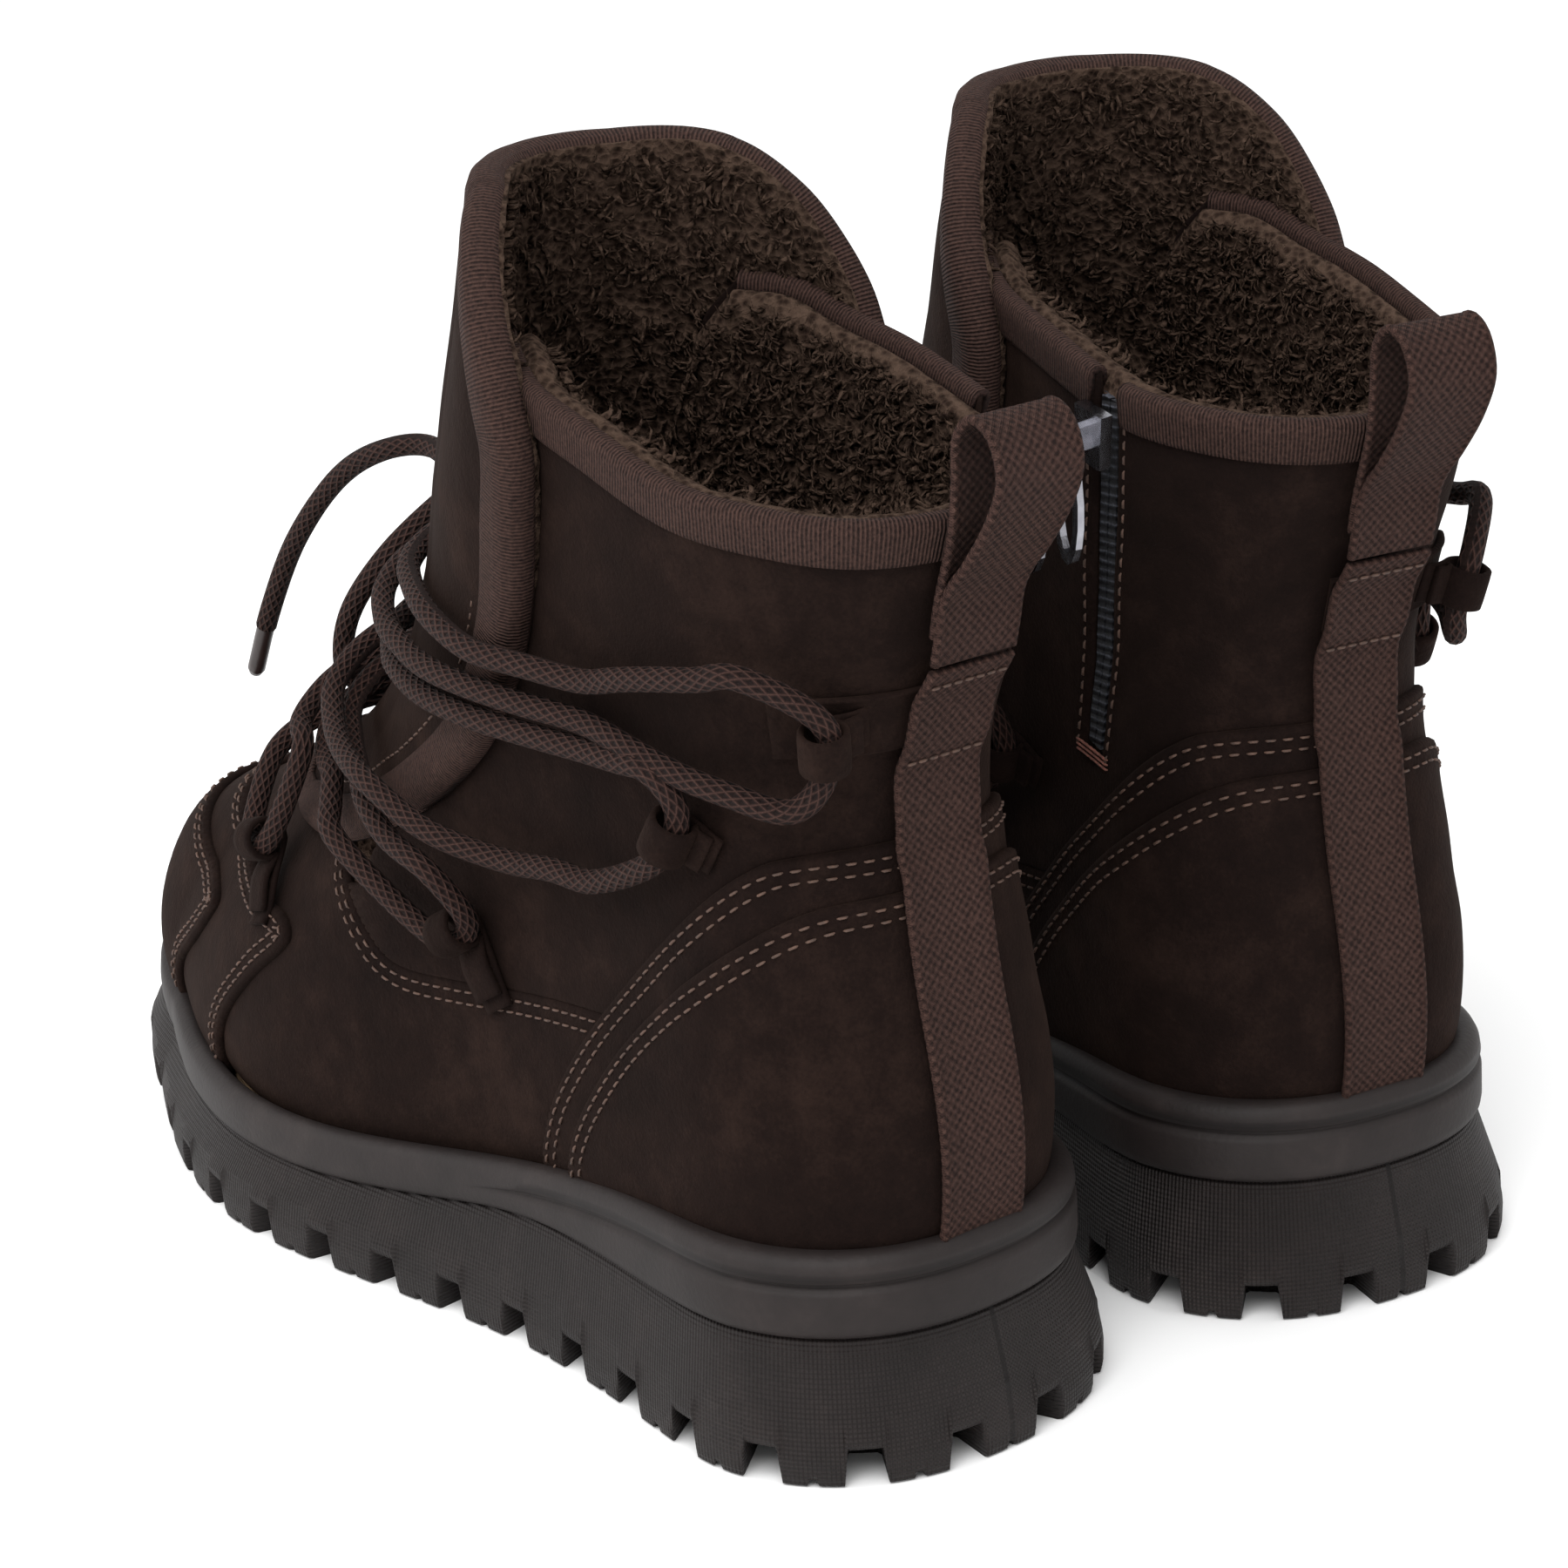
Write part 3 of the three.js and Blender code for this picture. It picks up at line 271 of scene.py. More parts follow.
def put(name, points, faces, material, nodes=(), slot=None, uvs=None, body="boot", fold=False):
    """One piece for each boot; with fold its placement is baked into its mesh and it is left without a parent,
    otherwise it rides on the body.
    """
    points = np.asarray(points, float)
    pieces = []
    for side in ("left", "right"):
        mesh = bpy.data.meshes.new(f"{side}_{name}")
        p = in_place(points)
        f = [list(q) for q in faces]
        if side == "right":
            p = p * [-1, 1, 1]
            f = [q[::-1] for q in f]
        mesh.from_pydata(p.tolist(), [], f)
        if uvs is not None:
            layer = mesh.uv_layers.new(name="UVMap")
            index = np.empty(len(mesh.loops), dtype=np.int32)
            mesh.loops.foreach_get("vertex_index", index)
            layer.data.foreach_set("uv", np.asarray(uvs, float)[index].ravel())
        mesh.validate()
        mesh.polygons.foreach_set("use_smooth", [True] * len(mesh.polygons))
        mesh.materials.append(material)
        obj = linked(f"{side}_{name}", mesh)
        if fold:
            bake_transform(obj)
        else:
            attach(obj, f"{side}_{body}")
        if nodes:
            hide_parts(*[f"{side}_{n}" for n in nodes])
        pieces.append(obj)
    return pieces


def inside(points, polygon):
    """Which of the points lie within a closed polygon."""
    x, y = points[:, 0], points[:, 1]
    result = np.zeros(len(points), bool)
    ax, ay = polygon[:, 0], polygon[:, 1]
    bx, by = np.roll(ax, -1), np.roll(ay, -1)
    for x0, y0, x1, y1 in zip(ax, ay, bx, by):
        if y0 == y1:
            continue
        result ^= ((y0 > y) != (y1 > y)) & (x < (x1 - x0) * (y - y0) / (y1 - y0) + x0)
    return result


def nearest(points, targets):
    """Each point's distance to the closest of the targets."""
    tree = kdtree.KDTree(len(targets))
    for i, p in enumerate(targets):
        tree.insert(p, i)
    tree.balance()
    return np.array([tree.find(p)[2] for p in points])


def turn_grid(spacing, low, high):
    """Turns between two limits, evenly spaced along the foot."""
    fine = np.linspace(low, high, 2000)
    d = length_of(face(np.full(2000, 1.5), fine))
    n = max(int(d[-1] / spacing), 2)
    return np.interp(np.linspace(0, d[-1], n), d, fine)


SHORTEST = 0.35  # no two neighbours on an outline are closer
PER_TURN, PER_V = 500.0, 12.0  # about how many millimetres a turn and a step of v are


def cleaned(loop):
    """A closed loop without points that crowd."""
    loop = np.asarray(loop, float)
    p = skin(loop, 0)
    keep = [0]
    for i in range(1, len(loop)):
        if np.linalg.norm(p[i] - p[keep[-1]]) > SHORTEST:
            keep.append(i)
    if np.linalg.norm(p[keep[-1]] - p[0]) < SHORTEST:
        keep.pop()
    return loop[keep]


def sheet_of(loop, spacing=2.6):
    """Triangles over a closed loop of (turn, v): points, faces, each point's edge distance, and edges of the rim."""
    loop = cleaned(loop)
    area = np.sum(loop[:, 0] * np.roll(loop[:, 1], -1) - np.roll(loop[:, 0], -1) * loop[:, 1])
    if area > 0:
        loop = loop[::-1]
    dense = resample_uv(np.vstack([loop, loop[:1]]), 1.0)[:-1]
    ring = skin(dense, 0)
    (turn_low, low), (turn_high, high) = loop.min(0), loop.max(0)
    turns = turn_grid(spacing, turn_low, turn_high)
    vs = np.linspace(low, high, max(int((high - low) * PER_V / spacing), 2))
    grid = np.stack(np.meshgrid(turns, vs), -1).reshape(-1, 2)
    grid = grid[inside(grid, loop)]
    away = nearest(skin(grid, 0), ring) if len(grid) else np.zeros(0)
    grid = grid[away > 1.7]
    rims = []
    for d in (0.45, 1.1):
        rim = inset(np.vstack([dense[-1:], dense, dense[:1]]), d)[1:-1][:: 1 if d < 1 else 2]
        rim = rim[inside(rim, loop)]
        if len(rim):
            rims.append(rim[nearest(skin(rim, 0), ring) > d * 0.8])
    points = np.vstack([dense, *rims, grid])
    scale = np.array([PER_TURN, PER_V])
    count = len(dense)
    edges = [(i, (i + 1) % count) for i in range(count)]
    verts, _, faces, *_ = delaunay_2d_cdt([Vector(p) for p in points * scale], edges, [], 1, 1e-4)
    uv = np.array([tuple(p) for p in verts]) / scale
    distance = nearest(skin(uv, 0), ring)
    sides = dict.fromkeys((a, b) for f in faces for a, b in zip(f, list(f[1:]) + [f[0]]))
    rim_edges = [(a, b) for a, b in sides if (b, a) not in sides]
    return uv, [tuple(f) for f in faces], distance, rim_edges


def swell(uv):
    """Slight softness that all layers of the upper share, so that none cuts another."""
    turn, v = uv[:, 0] * 2 * math.pi, uv[:, 1]
    wave = 0.5 * np.sin(3.1 * v + 4 * np.sin(turn)) * np.sin(5 * turn + 0.7 * v)
    wave += 0.3 * np.sin(1.7 * v + 9 * turn + 1.3)
    return 0.35 * wave * step(1.5, 4, v)


def offsets(value, uv):
    """A distance given as a number or as a function of the places, at each of them."""
    return value(uv) if callable(value) else np.full(len(uv), value)


def panel(name, loop, low, high, material, nodes, slot, roll=0.5, spacing=2.6, soft=0.8, fold=False, lumps=None):
    """A layer of material over a loop, from offset low to high.

    Its edges are rolled down over a width of soft, by a share roll of the thickness, on both faces where soft is
    more than 2. lumps raises the outer face.
    """
    uv, faces, distance, rim = sheet_of(loop, spacing)
    base = swell(uv)
    low_at, high_at = offsets(low, uv) + base, offsets(high, uv) + base
    edge = np.clip(1 - distance / soft, 0, 1) ** 2
    middle = (high_at - low_at) * roll
    top = high_at - middle * edge
    if lumps is not None:
        top = top + lumps(uv, distance)
    outer = skin(uv, top)
    inner = skin(uv, low_at + (middle * edge if soft > 2 else 0))
    count = len(uv)
    all_faces = [tuple(f[::-1]) for f in faces] + [tuple(i + count for i in f) for f in faces]
    all_faces += [(a, b, b + count, a + count) for a, b in rim]
    p = np.vstack([outer, inner])
    test = faces[len(faces) // 2]
    a, b, c = (outer[i] for i in test)
    if np.dot(np.cross(b - a, c - a), normal(uv[test[0], 1], uv[test[0], 0])) > 0:
        all_faces = [f[::-1] for f in all_faces]
    uvs = np.vstack([uv * [0.5, 0.012]] * 2)
    return put(name, p, all_faces, material, nodes, slot, uvs, fold=fold)


def grid_piece(name, rows, material, nodes, slot, uvs=None, **extra):
    """A closed lofted piece: rows[i] is the section at station i, all with as many points."""
    rows = np.asarray(rows, float)
    n, m = rows.shape[:2]
    faces = []
    for i in range(n - 1):
        for j in range(m):
            k = (j + 1) % m
            faces.append((i * m + j, i * m + k, (i + 1) * m + k, (i + 1) * m + j))
    faces.append(tuple(range(m))[::-1])
    faces.append(tuple((n - 1) * m + j for j in range(m)))
    p = rows.reshape(-1, 3)
    flat = None if uvs is None else np.asarray(uvs, float).reshape(-1, 2)
    return put(name, p, fix_out(p, faces), material, nodes, slot, flat, **extra)


def unrolled(along, across):
    """UVs in metres for a grid, from the lengths along and across it."""
    return np.stack(np.broadcast_arrays(np.asarray(along)[:, None], np.asarray(across)[None]), -1) / 1000


def prism(sides, rings):
    """The faces of a closed tube with rings of points one after another."""
    faces = []
    for i in range((rings - 1) * sides):
        j = i - i % sides + (i + 1) % sides
        faces.append((i, j, j + sides, i + sides))
    last = (rings - 1) * sides
    return faces + [tuple(range(sides - 1, -1, -1)), tuple(range(last, last + sides))]


def fix_out(p, faces):
    """Turns the faces of a closed body outwards."""
    volume = 0
    for f in faces:
        a = p[f[0]]
        for i in range(1, len(f) - 1):
            volume += np.dot(a, np.cross(p[f[i]], p[f[i + 1]]))
    return faces if volume > 0 else [tuple(f[::-1]) for f in faces]


def cord_rows(path, radius, sides=12, hint=(0.3, 0.2, 1)):
    """Round sections along a path; their first direction starts at the hint and is carried along."""
    t = tangents(path)
    across = np.array(hint, float)
    a = np.empty_like(path)
    for i in range(len(path)):
        across = across - np.dot(across, t[i]) * t[i]
        across /= np.linalg.norm(across)
        a[i] = across
    b = np.cross(t, a)
    angle = np.arange(sides) / sides * 2 * math.pi
    radius = np.broadcast_to(np.asarray(radius, float), (len(path),))
    ring = np.cos(angle)[None, :, None] * a[:, None] + np.sin(angle)[None, :, None] * b[:, None]
    return path[:, None] + ring * radius[:, None, None]


# ---------------------------------------------------------------------------------------------------------------
# Materials.
def linear(*rgb):
    """A colour's linear values, from its 8-bit ones."""
    return tuple((c / 255 / 12.92 if c <= 10 else ((c / 255 + 0.055) / 1.055) ** 2.4) for c in rgb) + (1,)


class Finish:
    """A Principled material that is built up from noises, waves and bumps."""

    def __init__(self, name, rough, metal=0.0, sheen=0.0, sheen_tint=None, specular=0.5):
        self.mat = bpy.data.materials.new(name)
        self.mat.use_nodes = True
        self.nodes = self.mat.node_tree.nodes
        self.links = self.mat.node_tree.links
        self.nodes.clear()
        self.out = self.nodes.new("ShaderNodeOutputMaterial")
        self.bsdf = self.nodes.new("ShaderNodeBsdfPrincipled")
        self.links.new(self.bsdf.outputs[0], self.out.inputs[0])
        self.bsdf.inputs["Roughness"].default_value = rough
        self.bsdf.inputs["Metallic"].default_value = metal
        self.bsdf.inputs["Specular IOR Level"].default_value = specular
        if sheen:
            self.bsdf.inputs["Sheen Weight"].default_value = sheen
            self.bsdf.inputs["Sheen Roughness"].default_value = 0.55
            self.bsdf.inputs["Sheen Tint"].default_value = sheen_tint
        self.coords = self.nodes.new("ShaderNodeTexCoord")
        self.height = None

    def where(self, uv=False):
        return self.coords.outputs["UV" if uv else "Object"]

    def math(self, kind, *values):
        node = self.nodes.new("ShaderNodeMath")
        node.operation = kind
        for i, value in enumerate(values):
            if isinstance(value, (int, float)):
                node.inputs[i].default_value = value
            else:
                self.links.new(value, node.inputs[i])
        return node.outputs[0]

    def noise(self, scale, detail=4.0, rough=0.6, distortion=0.0):
        node = self.nodes.new("ShaderNodeTexNoise")
        node.inputs["Scale"].default_value = scale
        node.inputs["Detail"].default_value = detail
        node.inputs["Roughness"].default_value = rough
        node.inputs["Distortion"].default_value = distortion
        self.links.new(self.where(), node.inputs["Vector"])
        return node.outputs["Fac"]

    def cells(self, scale):
        node = self.nodes.new("ShaderNodeTexVoronoi")
        node.inputs["Scale"].default_value = scale
        self.links.new(self.where(), node.inputs["Vector"])
        return node.outputs["Distance"]

    def axis(self, which, uv=True):
        node = self.nodes.new("ShaderNodeSeparateXYZ")
        self.links.new(self.where(uv), node.inputs[0])
        return node.outputs[which]

    def mix(self, *parts):
        """The sum of parts, each a value and its share."""
        total = self.math("MULTIPLY", *parts[0])
        for value, share in parts[1:]:
            total = self.math("MULTIPLY_ADD", value, share, total)
        return total

    def wave(self, value, period):
        return self.math("SINE", self.math("MULTIPLY", value, 2 * math.pi / period))

    def colour(self, fac, stops):
        ramp = self.nodes.new("ShaderNodeValToRGB")
        while len(ramp.color_ramp.elements) < len(stops):
            ramp.color_ramp.elements.new(0.5)
        for element, (at, rgb) in zip(ramp.color_ramp.elements, stops):
            element.position = at
            element.color = linear(*rgb)
        self.links.new(fac, ramp.inputs[0])
        self.links.new(ramp.outputs[0], self.bsdf.inputs["Base Color"])

    def bump(self, height, distance, strength=1.0):
        node = self.nodes.new("ShaderNodeBump")
        node.inputs["Distance"].default_value = distance
        node.inputs["Strength"].default_value = strength
        self.links.new(height, node.inputs["Height"])
        if self.height is not None:
            self.links.new(self.height, node.inputs["Normal"])
        self.height = node.outputs[0]
        self.links.new(self.height, self.bsdf.inputs["Normal"])


def suede_finish():
    f = Finish("suede", 0.95, sheen=0.05, sheen_tint=linear(150, 116, 98), specular=0.06)
    broad = f.noise(22, 4, 0.6, distortion=0.6)
    nap = f.noise(150, 3, 0.65)
    fine = f.noise(1300, 2, 0.7)
    tone = f.mix((broad, 0.5), (nap, 0.3), (fine, 0.2))
    f.colour(tone, [(0.36, (15, 9, 8)), (0.5, (22, 14, 12)), (0.68, (37, 26, 22))])
    f.bump(nap, 0.0012, 0.35)
    f.bump(fine, 0.0004, 0.6)
    return f.mat


def fleece_finish():
    f = Finish("fleece", 1.0, sheen=0.05, sheen_tint=linear(120, 102, 84), specular=0.04)
    curl = f.cells(620)
    tuft = f.noise(300, 4, 0.7, distortion=1.5)
    f.colour(f.mix((curl, 0.9), (tuft, 0.6)), [(0.2, (21, 15, 12)), (0.5, (42, 31, 26)), (0.9, (74, 59, 50))])
    f.bump(curl, 0.002, 0.7)
    f.bump(tuft, 0.0015, 0.7)
    return f.mat


def rubber_finish(name, knurl):
    f = Finish(name, 0.6, specular=0.25)
    dust = f.noise(60, 5, 0.7)
    f.colour(dust, [(0.3, (26, 21, 20)), (0.55, (33, 27, 26)), (0.8, (45, 38, 36))])
    if knurl:
        u, v = f.axis(0), f.axis(1)
        a = f.wave(f.math("ADD", u, v), 0.0017)
        b = f.wave(f.math("SUBTRACT", u, v), 0.0017)
        f.bump(f.math("MULTIPLY", a, b), 0.0005, 0.8)
    f.bump(f.noise(900, 3, 0.6), 0.0002, 0.5)
    return f.mat


def weave_finish(name, period, dark, mid, light, basket=True):
    f = Finish(name, 0.85, specular=0.12)
    u, v = f.axis(0), f.axis(1)
    if basket:
        a = f.wave(u, period)
        b = f.wave(v, period)
        fine = f.math("MULTIPLY", f.wave(u, period / 4), f.wave(v, period / 4))
        height = f.mix((f.math("MULTIPLY", a, b), 1), (fine, 0.35))
    else:
        height = f.math("ABSOLUTE", f.wave(u, period))
    grain = f.noise(1500, 2, 0.7)
    f.colour(f.mix((height, 0.25), (grain, 1)), [(0.25, dark), (0.5, mid), (0.85, light)])
    f.bump(height, 0.0006, 0.9)
    f.bump(grain, 0.0003, 0.5)
    return f.mat


def lace_finish():
    f = Finish("lace", 0.8, specular=0.15)
    u, v = f.axis(0), f.axis(1)
    a = f.wave(f.math("MULTIPLY_ADD", u, 0.5, v), 0.0016)
    b = f.wave(f.math("MULTIPLY_ADD", u, -0.5, v), 0.0016)
    height = f.math("MAXIMUM", a, b)
    grain = f.noise(1500, 2, 0.7)
    tone = f.mix((height, 0.3), (grain, 0.6))
    f.colour(tone, [(0.2, (26, 15, 13)), (0.5, (50, 33, 29)), (0.85, (74, 52, 45))])
    f.bump(height, 0.0007, 0.9)
    return f.mat


def plain_finish(name, rgb, rough, metal=0.0, vary=0.12, scale=300, bump=0.0002):
    f = Finish(name, rough, metal)
    n = f.noise(scale, 4, 0.6)
    low, high = ([min(255, c * k) for c in rgb] for k in (1 - vary, 1 + vary))
    f.colour(n, [(0.3, low), (0.7, high)])
    f.bump(n, bump, 0.5)
    return f.mat


def zip_finish():
    f = Finish("zip_tape", 0.6, specular=0.3)
    chain = f.wave(f.axis(2, uv=False), 0.002)
    grain = f.noise(1800, 2, 0.7)
    f.colour(f.mix((chain, 0.22), (grain, 1)), [(0.3, (18, 18, 21)), (0.55, (34, 34, 39)), (0.8, (74, 76, 84))])
    f.bump(chain, 0.0008, 0.9)
    f.bump(grain, 0.0002, 0.5)
    return f.mat


SUEDE = suede_finish()
FLEECE = fleece_finish()
WALL = rubber_finish("rubber_knurled", True)
BAND = rubber_finish("rubber_smooth", False)
WEBBING = weave_finish("webbing", 0.0019, (36, 24, 21), (60, 42, 37), (82, 60, 53))
RIBBED = weave_finish("binding", 0.0015, (20, 13, 12), (44, 31, 28), (70, 51, 45), basket=False)
LACE = lace_finish()
THREAD = plain_finish("thread", (70, 50, 40), 0.7, vary=0.25, scale=900)
TACK = plain_finish("tack_thread", (120, 74, 62), 0.7, vary=0.2, scale=900)
TAPE = zip_finish()
NICKEL = plain_finish("black_nickel", (150, 150, 156), 0.2, 1.0, vary=0.08)
STEEL = plain_finish("shank_steel", (150, 150, 152), 0.4, 1.0)
BOARD = plain_finish("fibre_board", (138, 112, 84), 0.9)
TIP = plain_finish("lace_tip", (40, 28, 26), 0.35, vary=0.1)

# ---------------------------------------------------------------------------------------------------------------
# Lace loops, lace and bow.
LACE_D = 4.6
LOOP_SUEDE, LOOP_WIDTH = 1.2, 8.0
HOLE = LACE_D / 2 + 1.1
RING = HOLE + LOOP_SUEDE
# For each loop its place in side view, side, the way its hole lies from its tail, lift and tail length.
LOOPS = {
    "vamp_outer": ((-184, 51), 1, (-2, 9), 2.2, 17),
    "vamp_inner": ((-184, 51), -1, (-2, 9), 2.2, 17),
    "throat_outer": ((-110, 46), 1, (-4, 8), 1.0, 17),
    "throat_inner": ((-110, 46), -1, (-4, 8), 1.0, 17),
    "ankle_outer": ((-38, 74), 1, (-8, 5), 1.0, 8),
    "ankle_inner": ((-78, 58), -1, (-8, 5), 1.0, 8),
    "rear": ((-13, 96), 1, (-8, 0), 2.5, 8),
}


def at_place(place, side, offset=0.0):
    return skin(locate([place], side), offset)[0]


def unit(v):
    return v / np.linalg.norm(v)


def loop_frame(name):
    """A loop's centre, the way it points, the surface's normal, and the axis of its hole."""
    at, side, towards, lift, tail = LOOPS[name]
    d2 = unit(np.array(towards, float))
    middle = np.array(at) - d2 * tail / 2
    uv = locate([middle], side)
    n = normal(uv[:, 1], uv[:, 0])[0]
    here = skin(uv, 0)[0]
    d = at_place(middle + 2 * d2, side) - here
    d = unit(d - n * np.dot(d, n))
    return here + d * tail / 2 + n * (lift + RING), d, n, np.cross(d, n)


def through(name, way):
    """Two places of the lace, before and behind a loop that it runs through."""
    centre, d, n, w = loop_frame(name)
    reach = LOOP_WIDTH / 2 + 1.5
    return [centre + w * reach * way, centre - w * reach * way]


def loop_piece(name, nodes):
    centre, d, n, w = loop_frame(name)
    _, side, _, lift, tail = LOOPS[name]
    mid = HOLE + LOOP_SUEDE / 2
    sunk = 2.4 if name.startswith("vamp") else 0.9
    line = [(-tail, -RING - lift + sunk), (-tail * 0.8, -RING - lift * 0.5 + 0.8), (-tail * 0.4, -mid - 0.2)]
    for a in np.linspace(-90, 235, 14):
        line.append((math.cos(math.radians(a)) * mid, math.sin(math.radians(a)) * mid))
    line += [(-tail * 0.45, -mid + LOOP_SUEDE + 0.5), (-tail * 0.85, -RING - lift * 0.5 + 2.0)]
    line = spline(np.array(line), 0.8)
    path = centre + line[:, :1] * d + line[:, 1:] * n
    up = np.cross(w, tangents(path))
    half = LOOP_WIDTH / 2
    top = [(-half, 0), (-half + 0.3, 0.55), (-half * 0.5, 0.62), (half * 0.5, 0.62), (half - 0.3, 0.55)]
    rows = [path + w * a + up * h for a, h in top + [(-a, -h) for a, h in top]]
    grid_piece(f"loop_{name}", np.stack(rows, 1), SUEDE, nodes, "suede")


for name in LOOPS:
    loop_piece(name, {"ankle_outer": ("ankle_loop_outer",), "ankle_inner": ("ankle_loop_inner",)}.get(name, ()))


def around(turn, rise, offset):
    """The point of the surface at a turn and a rise."""
    share = (1 - math.cos(turn * 2 * math.pi)) / 2
    low, high = 0.0, float(TOP)
    for _ in range(34):
        v = (low + high) / 2
        if float(column(v, 1) + (column(v, 3) - column(v, 1)) * share) < rise:
            low = v
        else:
            high = v
    return skin([[turn, low]], offset)[0]


def tongue_top(rise):
    """The offset of the tongue's outer face at a rise."""
    return GAP + 1.3 * float(step(112, 134, rise)) + 2.4 + 3.2 * float(step(60, 112, rise))


LIFT = LACE_D / 2 + 1.3


def stop(y, rise, side, offset):
    return (float(locate([(y, rise)], side)[0, 0]), rise, offset)


def on(side, places):
    """Places where the lace lies on the tongue: y, rise and, if it lies on something else, an extra lift."""
    return [stop(p[0], p[1], side, tongue_top(p[1]) + LIFT + (p[2] if len(p) > 2 else 0)) for p in places]


def bare(side, places):
    """The same for places beside the tongue."""
    return [stop(p[0], p[1], side, LIFT + (p[2] if len(p) > 2 else 0)) for p in places]


def over(rise, extra=0.0):
    """Where the lace crosses the middle of the tongue."""
    return [(0.5, rise, tongue_top(rise) + LIFT + extra)]


RUN = (
    over(117) + on(1, [(-104, 110), (-84, 105)]) + bare(1, [(-56, 101, 1), (-34, 105, 2), (-17, 109, 4)])
    + through("rear", 1) + bare(1, [(-17, 83, 4), (-34, 87, 2), (-58, 93, 1)]) + on(1, [(-90, 98)]) + over(109, 6)
    + on(-1, [(-108, 94, 2)]) + bare(-1, [(-88, 78, 3)]) + through("ankle_inner", -1) + bare(-1, [(-96, 52, 2)])
    + on(-1, [(-124, 68, 1)]) + over(86, 1) + on(1, [(-138, 73, 1)]) + bare(1, [(-108, 62, 6)])
    + through("throat_outer", 1) + on(1, [(-142, 60, 1), (-156, 68, 1)]) + over(76, 1) + on(-1, [(-166, 67, 1)])
    + through("vamp_inner", -1) + bare(-1, [(-197, 58, 4)]) + over(67, 1) + bare(1, [(-197, 58, 4)])
    + through("vamp_outer", -1) + on(1, [(-166, 67, 6)]) + over(76, 7) + on(-1, [(-156, 68, 6), (-142, 60, 5)])
    + through("throat_inner", 1) + bare(-1, [(-108, 62, 8)]) + on(-1, [(-138, 73, 6)]) + over(86, 7)
    + on(1, [(-122, 74, 5)]) + bare(1, [(-90, 64, 2), (-60, 62, 2)]) + through("ankle_outer", -1)
    + bare(1, [(-39, 87, 3), (-58, 88, 2)]) + on(1, [(-92, 92)]) + over(101)
)


def lay(stops):
    """A path through stops, which are points or (turn, rise, offset); between two of these it follows the surface."""
    path = []
    for i, here in enumerate(stops):
        if not isinstance(here, tuple):
            path.append(here)
            continue
        path.append(around(*here))
        after = stops[i + 1] if i + 1 < len(stops) else None
        if not isinstance(after, tuple):
            continue
        pieces = math.ceil(abs(after[0] - here[0]) / 0.04)
        for k in range(1, pieces):
            path.append(around(*(a + (b - a) * k / pieces for a, b in zip(here, after))))
    return np.array(path)


def rounded(points, spacing=1.4, passes=2):
    """Relaxes a chain's corners a little and resamples it evenly."""
    p = resample(spline(points, 1.0), spacing)
    for _ in range(passes):
        p[1:-1] = (p[:-2] + 2 * p[1:-1] + p[2:]) / 4
    return p


def lace_piece(name, path, nodes=(), radius=LACE_D / 2, material=None):
    flat = unrolled(length_of(path), np.arange(12) / 12 * math.pi * LACE_D)
    return grid_piece(name, cord_rows(path, radius), material or LACE, nodes, "lace", flat)


run = rounded(lay(RUN))
lace_piece("lace", run, ("lace_run",))
KNOT = around(0.5, 117, tongue_top(117) + LIFT + 7.5)
AHEAD = np.array([-14, -20, -2.0])  # from where the bow's places are counted to where it hangs
TAILS = [
    [(6, -152, 160), (9, -166, 158), (11, -182, 150), (12, -200, 134), (12, -214, 116), (12, -224, 99)],
    [(-6, -150, 154), (-14, -158, 146), (-22, -164, 134), (-28, -168, 120), (-31, -170, 108)],
]
BOWS = [
    [(7, -148, 150), (14, -160, 138), (18, -171, 124), (17, -177, 111), (10, -179, 105), (3, -175, 111), (1, -163, 128),
     (1, -150, 144)],
    [(-8, -148, 160), (-22, -162, 162), (-35, -178, 157), (-43, -190, 146), (-38, -192, 135), (-28, -184, 133),
     (-15, -166, 142), (-6, -152, 149)],
]


for i, tail in enumerate(TAILS):
    path = rounded(np.vstack([[KNOT], np.array(tail, float) + AHEAD]))
    tip_path = path[-12:]
    taper = np.full(len(tip_path), LACE_D / 2 * 0.86)
    taper[-1] *= 0.7
    tips = lace_piece(f"lace_tip_{i + 1}", tip_path, radius=taper, material=TIP)
    tails = lace_piece(f"lace_tail_{i + 1}", path[:-10], ("lace_bow",) if i == 0 else ())
for i, bow in enumerate(BOWS):
    path = rounded(np.vstack([[KNOT], np.array(bow, float) + AHEAD, [KNOT + [0, 0, -2]]]))
    lace_piece(f"lace_bow_loop_{i + 1}", path)
# The knot: a turn and a half of lace round the middle of the bow.
turns = np.linspace(0, 3.2 * math.pi, 40)
wrap = KNOT + np.stack([np.linspace(-2.6, 2.6, 40), np.cos(turns) * 3.6, np.sin(turns) * 3.9], -1)
lace_piece("lace_knot", rounded(wrap, 1.2, 1))

# ---------------------------------------------------------------------------------------------------------------
# The upper. Side-view lines as (y, rise), as in the CAD.
COLLAR = [(22, 132), (8, 133), (-8, 135), (-30, 139), (-52, 147), (-68, 153), (-80, 160), (-90, 163)]
THROAT = [(-90, 163), (-98, 155), (-101, 140), (-105, 120), (-113, 100), (-124, 84), (-138, 66), (-146, 52)]
VAMP = [(-44, 34), (-60, 33), (-90, 34), (-118, 35), (-134, 37), (-143, 43), (-150, 52), (-158, 68), (-166, 95)]
LOW_OVERLAY = [(-94, -10), (-91, 2), (-83, 17), (-67, 34), (-44, 53), (-27, 67), (-18, 71), (-4, 72), (20, 70)]
HIGH_OVERLAY = [(-84, -10), (-79, 4), (-71, 16), (-56, 31), (-36, 47), (-19, 60), (-10, 63), (2, 63), (20, 61)]
TOE_OVERLAY = [(-205, -10), (-200, 8), (-184, 24), (-172, 33), (-169, 37), (-174, 40), (-190, 40), (-210, 44),
               (-232, 52), (-246, 60)]
